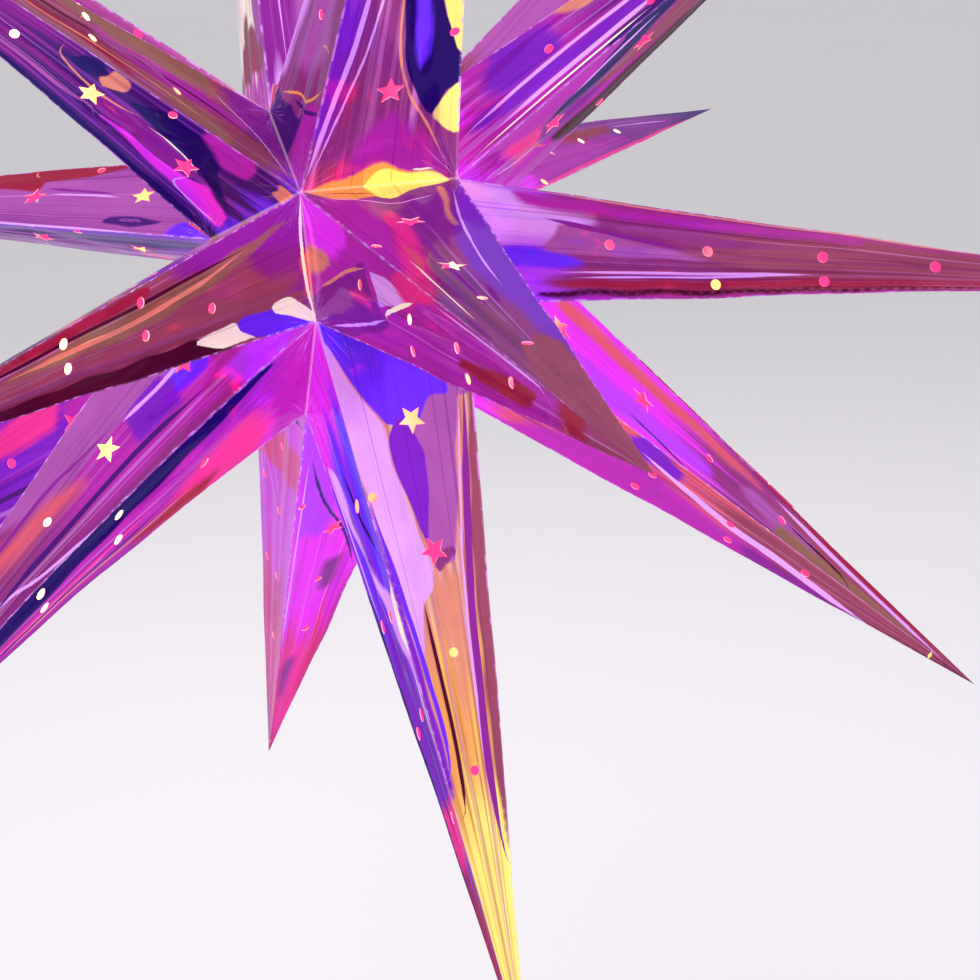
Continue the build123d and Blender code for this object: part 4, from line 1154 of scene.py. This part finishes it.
def dimmed(shade, level):
    """A colour at a share of its brightness."""
    return tuple(level * channel for channel in shade[:3]) + (1.0,)


def object_place(tree):
    """A point's place on its object, in metres."""
    return put(tree, "ShaderNodeTexCoord").outputs["Object"]


def paint(tree, shader, shown, glows=False):
    """Gives a shader its colour, which it also glows in where it does."""
    tree.links.new(shown, shader.inputs["Base Color"])
    if glows:
        tree.links.new(shown, shader.inputs["Emission Color"])


def add_bump(tree, shader, strength, distance, height):
    """Gives a shader a fine relief."""
    bump = put(tree, "ShaderNodeBump", {"Strength": strength, "Distance": distance, "Height": height})
    tree.links.new(bump.outputs[0], shader.inputs["Normal"])


def noise(tree, vector, scale, detail=2.0, distortion=0.0):
    """A noise texture's value."""
    return put(tree, "ShaderNodeTexNoise", {
        "Vector": vector, "Scale": scale, "Detail": detail, "Distortion": distortion,
    }).outputs["Fac"]


def attribute(tree, name, output="Vector"):
    """What the surface carries under a name."""
    return put(tree, "ShaderNodeAttribute", attribute_name=name).outputs[output]


def stretched(tree, place, across, up):
    """A place, stretched along its first two directions: on a face, across it and up it."""
    return put(tree, "ShaderNodeMapping", {"Vector": place, "Scale": (across, up, 1.0)}).outputs[0]


def new_group(name, inputs, outputs):
    """A shader node group with named sockets, and its input and output nodes."""
    group = bpy.data.node_groups.new(name, "ShaderNodeTree")
    for socket, kind, default in inputs:
        made = group.interface.new_socket(socket, in_out="INPUT", socket_type=kind)
        if default is not None:
            made.default_value = default
    for socket, kind in outputs:
        group.interface.new_socket(socket, in_out="OUTPUT", socket_type=kind)
    return group, group.nodes.new("NodeGroupInput").outputs, group.nodes.new("NodeGroupOutput").inputs


def number_sockets(**defaults):
    """Sockets that hold numbers, with their defaults."""
    return [(socket_name(name), "NodeSocketFloat", default) for name, default in defaults.items()]


def socket_name(name):
    """A socket's name, from what a call says."""
    return name.replace("_", " ").title()


def shared_group(name, build):
    """A node group, built the first time that a material asks for it."""
    return bpy.data.node_groups.get(name) or build(name)


def streak_group(name):
    """Streaks that run up a face to its tip: a stretched noise cut at a level."""
    levels = number_sockets(level=0.6, softness=0.03, across=6.0, up=0.7, shift=0.0)
    inputs = [("Place", "NodeSocketVector", None), *levels]
    group, given, out = new_group(name, inputs, [("Mask", "NodeSocketFloat")])
    scale = put(group, "ShaderNodeCombineXYZ", {"X": given["Across"], "Y": given["Up"], "Z": 1.0})
    shift = put(group, "ShaderNodeCombineXYZ", {"X": given["Shift"], "Y": 0.0, "Z": given["Shift"]})
    place = given["Place"]
    for operation, node in (("MULTIPLY", scale), ("ADD", shift)):
        vectors = {0: place, 1: node.outputs[0]}
        place = put(group, "ShaderNodeVectorMath", vectors, operation=operation).outputs[0]
    value = noise(group, place, 1.0, 3.0, 0.3)
    high = maths(group, "ADD", given["Level"], given["Softness"])
    mask = put(group, "ShaderNodeMapRange", {"Value": value, "From Min": given["Level"], "From Max": high})
    group.links.new(mask.outputs["Result"], out["Mask"])
    return group


def use_group(tree, group, **inputs):
    """Places a node group and fills its inputs."""
    given = {socket_name(name): value for name, value in inputs.items()}
    return put(tree, "ShaderNodeGroup", given, node_tree=group).outputs


def new_material(name, roughness=0.5, metallic=0.0, **sockets):
    """A material with a Principled BSDF, its tree and the shader."""
    material = bpy.data.materials.new(name)
    material.use_nodes = True
    tree = material.node_tree
    shader = tree.nodes["Principled BSDF"]
    shader.inputs["Roughness"].default_value = roughness
    shader.inputs["Metallic"].default_value = metallic
    for socket, value in sockets.items():
        shader.inputs[socket.replace("_", " ")].default_value = value
    return material, tree, shader


def palette_group(colours):
    """The film's colours by number: a ramp with a flat step for each."""
    group, given, out = new_group("film_palette", number_sockets(number=0.0), [("Colour", "NodeSocketColor")])
    node = put(group, "ShaderNodeValToRGB", {"Fac": given["Number"]})
    node.color_ramp.interpolation = "CONSTANT"
    names = list(FoilColours.__annotations__)
    stops = node.color_ramp.elements
    stops.remove(stops[1])
    for number, name in enumerate(names):
        stop = stops[0] if number == 0 else stops.new(number / len(names))
        stop.color = getattr(colours, name)[:]
    group.links.new(node.outputs["Color"], out["Colour"])
    return group


def quarter(tree, name):
    """The four values that the surface carries under a name."""
    node = put(tree, "ShaderNodeAttribute", attribute_name=name)
    parts = put(tree, "ShaderNodeSeparateColor", {0: node.outputs["Color"]}).outputs
    return [parts[0], parts[1], parts[2], node.outputs["Alpha"]]


# The painted shade that the film's long streaks, its wash and its thin threads darken it by
STREAK_SHADE = (0.60, 0.42, 0.70, 1.0)
WASH_SHADE = (0.62, 0.36, 0.66, 1.0)
THREAD_SHADE = (0.35, 0.20, 0.50, 1.0)


def streak_mask(tree, place, level, softness, across, up, shift):
    """The streaks above a level, at a scale across and up the face."""
    return use_group(
        tree, shared_group("foil_streaks", streak_group), place=place, level=level, softness=softness,
        across=across, up=up, shift=shift,
    )["Mask"]


def foil_material(scene):
    """Iridescent film: patches of colour with clean edges and stripes, which paint its glints, reflections
    and shade, long streaks of painted shade and highlight, gathers and pale folds painted as highlights, and
    a painted glow.
    """
    finish, colours = scene.foil_finish, scene.foil_colours
    material, tree, shader = new_material(
        "foil_film", finish.roughness, finish.metal, Coat_Weight=finish.coat, Coat_Roughness=0.04,
        Specular_IOR_Level=0.25, Specular_Tint=finish.mirror[:],
    )
    palette = palette_group(colours)
    place = attribute(tree, "face_place")
    across, up, _ = put(tree, "ShaderNodeSeparateXYZ", {0: place}).outputs
    layers = [number for name in range(LAYER_COUNT // 4) for number in quarter(tree, f"film_{name}")]
    layers = [use_group(tree, palette, number=number)["Colour"] for number in layers]
    long_noise = noise(tree, stretched(tree, place, 7.0, 0.6), 1.0, 2.0)
    fine_noise = noise(tree, stretched(tree, place, 16.0, 5.0), 1.0, 2.0)
    stray = ramp(tree, long_noise, 0.3, 0.7, -0.8, 0.8)
    fray = ramp(tree, fine_noise, 0.3, 0.7, -0.16, 0.16)
    shown = layers[0]
    ends = put(tree, "ShaderNodeSeparateXYZ", {0: attribute(tree, "ends")}).outputs
    for value, layer in zip(ends, layers[1 + PATCH_COUNT:4 + PATCH_COUNT]):
        shown = lay_over(tree, ramp(tree, maths(tree, "ADD", value, stray), -0.8, 0.8), shown, layer)
    # Painted shade and highlight: dark streaks and pale lilac streaks that run up the face, stronger towards
    # the tip.
    shade = streak_mask(tree, place, 0.56, 0.09, 5.0, 0.8, 0.0)
    light = streak_mask(tree, place, 0.62, 0.03, 9.0, 0.5, 7.0)
    further = ramp(tree, up, 0.05, 0.5, 0.18, 0.8)
    shown = lay_over(tree, times(tree, shade, further), shown, STREAK_SHADE, "MULTIPLY")
    light = times(tree, light, times(tree, further, 0.4))
    shown = lay_over(tree, light, shown, colours.lilac[:], "SCREEN")
    fields = quarter(tree, "patch_low") + quarter(tree, "patch_high")
    for value, layer in zip(fields, layers[1:1 + PATCH_COUNT]):
        shown = lay_over(tree, ramp(tree, maths(tree, "ADD", value, fray), -0.6, 0.6), shown, layer)
    # Painted shade: a broad wash darkens the film, and thin threads darken it below.
    wash = ramp(tree, noise(tree, stretched(tree, place, 1.4, 9.0), 1.0, 3.0, 0.6), 0.35, 0.75)
    shown = lay_over(tree, times(tree, wash, 0.30), shown, WASH_SHADE, "MULTIPLY")
    thread = streak_mask(tree, place, 0.61, 0.02, 20.0, 0.5, 3.0)
    shown = lay_over(tree, times(tree, thread, 0.40), shown, THREAD_SHADE, "MULTIPLY")
    fields = quarter(tree, "stripe_low") + quarter(tree, "stripe_high")
    for gap, width, layer in zip(fields[::2], fields[1::2], layers[4 + PATCH_COUNT:]):
        swayed = maths(tree, "ABSOLUTE", maths(tree, "ADD", gap, fray))
        mask = ramp(tree, maths(tree, "SUBTRACT", width, swayed), -0.15, 0.2)
        shown = lay_over(tree, mask, shown, layer)
    # Painted highlight: broken pale dashes along the folded ridges.
    dashes = ramp(tree, noise(tree, stretched(tree, place, 2.0, 55.0), 1.0, 2.0), 0.48, 0.6)
    ridge = ramp(tree, maths(tree, "ABSOLUTE", across), 0.955, 0.985)
    ridge = times(tree, ridge, ramp(tree, dashes, 0.0, 1.0, 0.15, 0.75))
    shown = lay_over(tree, ridge, shown, colours.lilac[:])
    # Painted highlight: a thin cream line along the face's foot.
    mouth = times(tree, ramp(tree, up, 0.0040, 0.0015), 0.22)
    shown = lay_over(tree, mouth, shown, colours.cream[:])
    # Painted highlight: pale lines that fan out of the lower corners.
    shown = lay_over(tree, gather_mask(tree, place, across, up), shown, colours.lilac[:])
    # Painted light: the film glows in its own colours, more at the foot, near the lamp.
    paint(tree, shader, shown, glows=True)
    glow = ramp(tree, up, 0.0, 0.6, 1.1 * finish.glow, 0.85 * finish.glow)
    tree.links.new(glow, shader.inputs["Emission Strength"])
    add_bump(tree, shader, 0.2, 0.0003, long_noise)
    return material


def gather_mask(tree, place, across, up):
    """Thin painted highlight lines that fan out of a face's two lower corners."""
    from_side = maths(tree, "SUBTRACT", 1.0, maths(tree, "ABSOLUTE", across))
    climb = times(tree, up, 9.0)
    angle = maths(tree, "ARCTAN2", climb, from_side)
    squares = maths(tree, "ADD", times(tree, climb, climb), times(tree, from_side, from_side))
    reach = maths(tree, "SQRT", squares)
    depth = put(tree, "ShaderNodeSeparateXYZ", {0: place}).outputs[2]
    side = maths(tree, "ADD", maths(tree, "SIGN", across), depth)
    places = {"X": times(tree, angle, 9.0), "Y": times(tree, reach, 0.8), "Z": side}
    fan = put(tree, "ShaderNodeCombineXYZ", places).outputs[0]
    off_line = maths(tree, "ABSOLUTE", maths(tree, "SUBTRACT", noise(tree, fan, 1.0, 1.0), 0.5))
    return times(tree, ramp(tree, off_line, 0.022, 0.004), ramp(tree, reach, 0.80, 0.10, 0.0, 0.6))


def mottle_group(name):
    """One colour in patches over another, and the noise that they follow."""
    inputs = [
        ("Place", "NodeSocketVector", None), ("Under", "NodeSocketColor", None),
        ("Over", "NodeSocketColor", None), *number_sockets(scale=100.0, low=0.4, high=0.7),
    ]
    outputs = [("Colour", "NodeSocketColor"), ("Value", "NodeSocketFloat")]
    group, given, out = new_group(name, inputs, outputs)
    value = noise(group, given["Place"], given["Scale"])
    mask = ramp(group, value, given["Low"], given["High"])
    group.links.new(lay_over(group, mask, given["Under"], given["Over"]), out["Colour"])
    group.links.new(value, out["Value"])
    return group


def mottle(tree, scale, low, high, under, over):
    """A mottled colour's outputs."""
    return use_group(
        tree, shared_group("mottle", mottle_group), place=object_place(tree), scale=scale, low=low,
        high=high, under=under, over=over,
    )


def inside_material(scene):
    """The card's inner side: pale foil, lit warm by the lamp in a painted glow, and blotched by painted
    reflections of what it mirrors.
    """
    finish, card = scene.foil_finish, scene.card_colours
    material, tree, shader = new_material("foil_inside", 0.35, 0.3, Emission_Strength=finish.inside_glow)
    shown = mottle(tree, 11.0, 0.36, 0.44, card.inside[:], card.amber[:])["Colour"]
    shown = mottle(tree, 11.0, 0.45, 0.49, shown, card.blush[:])["Colour"]
    paint(tree, shader, shown, glows=True)
    return material


def card_edge_material(scene):
    """The card's cut edge: pale fibres between the films, with a faint painted glow."""
    material, tree, shader = new_material("card_edge", 0.7, 0.0, Emission_Strength=0.25)
    fibre = times(tree, noise(tree, object_place(tree), 900.0, 2.0), 0.4)
    shown = lay_over(tree, fibre, scene.card_colours.core[:], scene.foil_colours.mauve[:])
    paint(tree, shader, shown, glows=True)
    return material


def wear_group(name):
    """Fine grain or scratches, and dull patches: a surface's colour, its roughness and its relief."""
    inputs = [
        ("Place", "NodeSocketVector", None), ("Grain Stretch", "NodeSocketVector", (1.0, 1.0, 1.0)),
        ("Colour", "NodeSocketColor", None), ("Worn Colour", "NodeSocketColor", None),
        *number_sockets(
            grain_scale=2600.0, wear_scale=220.0, wear_detail=2.0, wear_low=0.4, wear_high=0.7,
            wear_most=0.6, dull_low=0.3, dull_high=0.7, smoothest=0.3, roughest=0.5,
        ),
    ]
    outputs = [("Colour", "NodeSocketColor"), ("Roughness", "NodeSocketFloat"), ("Height", "NodeSocketFloat")]
    group, given, out = new_group(name, inputs, outputs)
    stretch = {"Vector": given["Place"], "Scale": given["Grain Stretch"]}
    grain = noise(group, put(group, "ShaderNodeMapping", stretch).outputs[0], given["Grain Scale"], 3.0)
    wear = noise(group, given["Place"], given["Wear Scale"], given["Wear Detail"])
    mask = ramp(group, wear, given["Wear Low"], given["Wear High"], 0.0, given["Wear Most"])
    made = {
        "Colour": lay_over(group, mask, given["Colour"], given["Worn Colour"]),
        "Roughness": ramp(
            group, wear, given["Dull Low"], given["Dull High"], given["Smoothest"], given["Roughest"],
        ),
        "Height": grain,
    }
    for socket, value in made.items():
        group.links.new(value, out[socket])
    return group


def worn_material(name, code, roughness, metallic, worn_level, span, bump, wear, **sockets):
    """A material with grain and wear: how bright its worn colour is, the span of its roughness over the
    plain one, the strength and depth of its bump, and the wear's own settings."""
    material, tree, shader = new_material(name, roughness, metallic, **sockets)
    base = hex_colour(code)
    worn = use_group(
        tree, shared_group("grain_and_wear", wear_group), place=object_place(tree), colour=base,
        worn_colour=dimmed(base, worn_level), smoothest=roughness * span[0], roughest=roughness * span[1],
        **wear,
    )
    paint(tree, shader, worn["Colour"])
    tree.links.new(worn["Roughness"], shader.inputs["Roughness"])
    add_bump(tree, shader, *bump, worn["Height"])
    return material


def moulded_material(name, code, roughness, grain_scale, **sockets):
    """Moulded plastic: a fine grain in the mould, and cloudy wear."""
    wear = {"grain_scale": grain_scale, "wear_scale": grain_scale / 12}
    return worn_material(name, code, roughness, 0.0, 0.82, (0.8, 1.25), (0.2, 0.0001), wear, **sockets)


def metal_material(name, code, roughness, scratch_scale):
    """Turned or rolled metal: rings of fine scratches round the axis, and dull patches."""
    wear = {
        "grain_stretch": (0.05, 0.05, 1.0), "grain_scale": scratch_scale, "wear_detail": 3.0,
        "wear_low": 0.45, "wear_high": 0.75, "wear_most": 0.7, "dull_high": 0.8,
    }
    return worn_material(name, code, roughness, 1.0, 0.7, (0.7, 1.5), (0.3, 0.00005), wear)


def seen_mask(tree):
    """1 for rays from the camera, off gloss and through glass, and 0 for light on its way to a surface."""
    rays = put(tree, "ShaderNodeLightPath").outputs
    seen = maths(tree, "MAXIMUM", rays["Is Camera Ray"], rays["Is Glossy Ray"])
    return maths(tree, "MAXIMUM", seen, rays["Is Transmission Ray"])


def glass_material():
    """The lamp's clear glass."""
    material, tree, shader = new_material("lamp_glass_clear", 0.03, 0.0, Transmission_Weight=1.0, IOR=1.46)
    glass = mottle(tree, 120.0, 0.4, 0.7, hex_colour("#fff6e6"), hex_colour("#ffeccf"))
    paint(tree, shader, glass["Colour"])
    add_bump(tree, shader, 0.15, 0.0001, glass["Value"])
    return material


def glowing_material():
    """The phosphor sticks: yellow when dark, warm white when lit, with a darker speckle."""
    material, tree, shader = new_material("light_stick_glow", 0.5, 0.0, Emission_Strength=6.0)
    speckle = mottle(tree, 2500.0, 0.4, 0.8, hex_colour("#ffd27a"), hex_colour("#ffb648"))
    paint(tree, shader, speckle["Colour"], glows=True)
    return material


# ---- Operators ----

class STAR_OT_spikes(bpy.types.Operator):
    """Folds the eighteen foil spikes, with their cut-outs, lips and closing rib"""
    bl_idname = "star.spikes"
    bl_label = "Foil Spikes"

    def execute(self, context):
        scene = context.scene
        materials = [foil_material(scene), inside_material(scene), card_edge_material(scene)]
        for row in ROWS:
            for column in range(1, scene.star_sizes.columns + 1):
                node = f"{row}_spike_{column}"
                mesh = spike_mesh(scene, row, column)
                check_tip(node, mesh)
                spike = bpy.data.objects.new(f"foil_{node}", mesh)
                scene.collection.objects.link(spike)
                for material in materials:
                    mesh.materials.append(material)
                wall = spike.modifiers.new("card", "SOLIDIFY")
                wall.thickness = scene.star_sizes.card
                wall.offset = -1
                wall.material_offset = 1
                wall.material_offset_rim = 2
                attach(spike, "star")
                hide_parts(node)
        return {"FINISHED"}


def check_tip(node, mesh):
    """Stops the script where a spike's outward sides leave those of the frame's part."""
    low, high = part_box(node)
    points = np.array([vertex.co for vertex in mesh.vertices])
    outward = points[np.abs(points).sum(axis=1).argmax()] > points.mean(axis=0)
    here, there = np.where(outward, points.max(0), points.min(0)), np.where(outward, high, low)
    if np.abs(here - there).max() > TIP_TOLERANCE:
        raise RuntimeError(f"{node}'s tip isn't where its frame part's is")


class STAR_OT_fittings(bpy.types.Operator):
    """Finishes the clips, the cord grip and what the star hangs on"""
    bl_idname = "star.fittings"
    bl_label = "Fittings"

    def execute(self, context):
        clear = moulded_material("clear_plastic", "#d9d4e0", 0.22, 1800.0, Transmission_Weight=0.55)
        white = moulded_material("white_plastic", "#e9e6e0", 0.38, 2600.0)
        black = moulded_material("black_plastic", "#101012", 0.45, 2600.0)
        zinc = metal_material("zinc_steel", "#b9babd", 0.3, 4000.0)
        brass = metal_material("brass", "#d3a655", 0.25, 4000.0)
        finishes = {
            clear: [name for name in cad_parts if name.startswith("seam_clip")],
            white: ["carrier_plate", "holder_cap", "holder_body"],
            black: ["contact_insert"],
            zinc: ["grip_screw", "lock_nut"],
            brass: ["terminal_screws", "middle_contact"],
        }
        for material, names in finishes.items():
            for name in names:
                finish_node(name, material)
        modelled = (
            ("cord_grip", grip_mesh, white, "white_plastic"),
            ("threaded_tube", tube_mesh, zinc, "zinc_steel"),
            ("thread_shell", shell_mesh, brass, "brass"),
        )
        for node, build, material, slot in modelled:
            mesh = build(context.scene.thread_sizes, *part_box(node))
            stand_for(context.scene, node, mesh, material, "lampholder")
        return {"FINISHED"}


class STAR_OT_lamp(bpy.types.Operator):
    """Finishes the small screw-in lamp and its glowing sticks"""
    bl_idname = "star.lamp"
    bl_label = "Lamp"

    def execute(self, context):
        finishes = {
            "lamp_tip": metal_material("solder", "#aeaeb2", 0.4, 3000.0),
            "lamp_insulator": moulded_material("black_glass", "#08080b", 0.12, 900.0),
            "lamp_glass": glass_material(),
            "lamp_stem": moulded_material("pressed_glass", "#e6e4dc", 0.2, 900.0),
            "light_sticks": glowing_material(),
        }
        for name, material in finishes.items():
            finish_node(name, material)
        scene = context.scene
        nickel = metal_material("nickel", "#c4c1ba", 0.25, 4000.0)
        cap = lamp_cap_mesh(scene.thread_sizes, *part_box("lamp_cap"))
        stand_for(scene, "lamp_cap", cap, nickel, "lamp")
        return {"FINISHED"}


def finish_node(name, material):
    """Gives a part of the frame its finish."""
    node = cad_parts[name]
    if not node.material_slots:
        node.data.materials.append(material)
    for place in node.material_slots:
        place.material = material


FLOOR_SIDES = 96
FLOOR_RADIUS = 20.0
# The studio's lights: their place and side in metres, their power in watts and their colour
LIGHTS = {
    "key": ((-1.1, -1.5, 1.5), 1.2, 30.0, (1.0, 0.97, 0.94)),
    "fill": ((1.7, -1.2, 0.5), 1.4, 14.0, (0.95, 0.96, 1.0)),
    "rim": ((0.4, 1.8, 1.2), 1.2, 22.0, (1.0, 0.96, 0.98)),
}


class STAR_OT_studio(bpy.types.Operator):
    """Sets the floor, the light and the camera"""
    bl_idname = "star.studio"
    bl_label = "Studio"

    def execute(self, context):
        scene = context.scene
        studio = scene.star_studio
        scene.view_settings.view_transform = "Standard"
        self.add_floor(scene, studio)
        self.add_world(scene, studio)
        self.add_lights(scene)
        self.add_camera(scene, studio)
        return {"FINISHED"}

    def add_floor(self, scene, studio):
        """A wide flat disc."""
        angle = np.arange(FLOOR_SIDES) * 2 * pi / FLOOR_SIDES
        across, back = FLOOR_RADIUS * np.cos(angle), FLOOR_RADIUS * np.sin(angle)
        rim = np.stack([across, back, np.full_like(angle, -studio.floor_drop)], axis=1)
        mesh = bpy.data.meshes.new("floor")
        mesh.from_pydata(rim.tolist(), [], [list(range(FLOOR_SIDES))])
        floor = bpy.data.objects.new("floor", mesh)
        scene.collection.objects.link(floor)
        material, tree, shader = new_material("floor", 0.9, 0.0)
        base = studio.floor_colour[:]
        paint(tree, shader, lay_over(tree, noise(tree, object_place(tree), 3.0), base, dimmed(base, 0.97)))
        shader.inputs["Emission Color"].default_value = base
        lift = times(tree, seen_mask(tree), studio.floor_lift)
        tree.links.new(lift, shader.inputs["Emission Strength"])
        mesh.materials.append(material)

    def add_world(self, scene, studio):
        """The same pale light from all round."""
        world = scene.world or bpy.data.worlds.new("studio")
        scene.world = world
        world.use_nodes = True
        tree = world.node_tree
        background = tree.nodes["Background"]
        background.inputs["Color"].default_value = studio.sky_colour[:]
        strength = ramp(tree, seen_mask(tree), 0.0, 1.0, studio.sky_strength, studio.sky_seen)
        tree.links.new(strength, background.inputs["Strength"])

    def add_lights(self, scene):
        """A broad key light, a fill and a rim light, all facing the star."""
        for name, (place, size, power, tint) in LIGHTS.items():
            lamp = bpy.data.lights.new(name, "AREA")
            lamp.size = size
            lamp.energy = power
            lamp.color = tint
            light = bpy.data.objects.new(name, lamp)
            light.location = place
            target = Vector((0.0, 0.0, -scene.star_sizes.centre_drop))
            light.rotation_euler = (target - Vector(place)).to_track_quat("-Z", "Y").to_euler()
            light.visible_glossy = False
            scene.collection.objects.link(light)

    def add_camera(self, scene, studio):
        """The camera looks at a point beside the star, so that the star hangs high on the left."""
        azimuth, elevation, roll = studio.camera_azimuth, studio.camera_elevation, studio.camera_roll
        back = Vector((sin(azimuth) * cos(elevation), -cos(azimuth) * cos(elevation), sin(elevation)))
        level_right = Vector((0.0, 0.0, 1.0)).cross(back).normalized()
        level_up = back.cross(level_right)
        right = cos(roll) * level_right + sin(roll) * level_up
        up = cos(roll) * level_up - sin(roll) * level_right
        centre = Vector((0.0, 0.0, -scene.star_sizes.centre_drop))
        data = bpy.data.cameras.new("camera")
        data.lens = studio.lens
        data.sensor_width = studio.sensor
        data.clip_end = 60.0
        camera = bpy.data.objects.new("camera", data)
        turn = Matrix((right, up, back)).transposed().to_4x4()
        place = centre + back * studio.camera_distance + right * studio.camera_right - up * studio.camera_down
        camera.matrix_world = Matrix.Translation(place) @ turn
        scene.collection.objects.link(camera)
        scene.camera = camera


class STAR_PT_panel(bpy.types.Panel):
    """Lists the sizes, the colours and the pieces"""
    bl_idname = "STAR_PT_panel"
    bl_label = "Star Pendant"
    bl_space_type = "VIEW_3D"
    bl_region_type = "UI"
    bl_category = "Star Pendant"

    def draw(self, context):
        for operator in OPERATORS:
            self.layout.operator(operator.bl_idname)
        for name, group in SETTINGS.items():
            box = self.layout.box()
            box.label(text=group.__doc__)
            for field in group.__annotations__:
                box.prop(getattr(context.scene, name), field)


OPERATORS = (STAR_OT_spikes, STAR_OT_fittings, STAR_OT_lamp, STAR_OT_studio)
CLASSES = (*SETTINGS.values(), *OPERATORS, STAR_PT_panel)


def register():
    for cls in CLASSES:
        bpy.utils.register_class(cls)
    for name, group in SETTINGS.items():
        setattr(bpy.types.Scene, name, PointerProperty(type=group))


def unregister():
    for name in SETTINGS:
        delattr(bpy.types.Scene, name)
    for cls in reversed(CLASSES):
        bpy.utils.unregister_class(cls)


def main():
    """Builds the pendant."""
    register()
    bpy.ops.star.spikes()
    bpy.ops.star.fittings()
    bpy.ops.star.lamp()
    bpy.ops.star.studio()


if __name__ == "__main__":
    main()
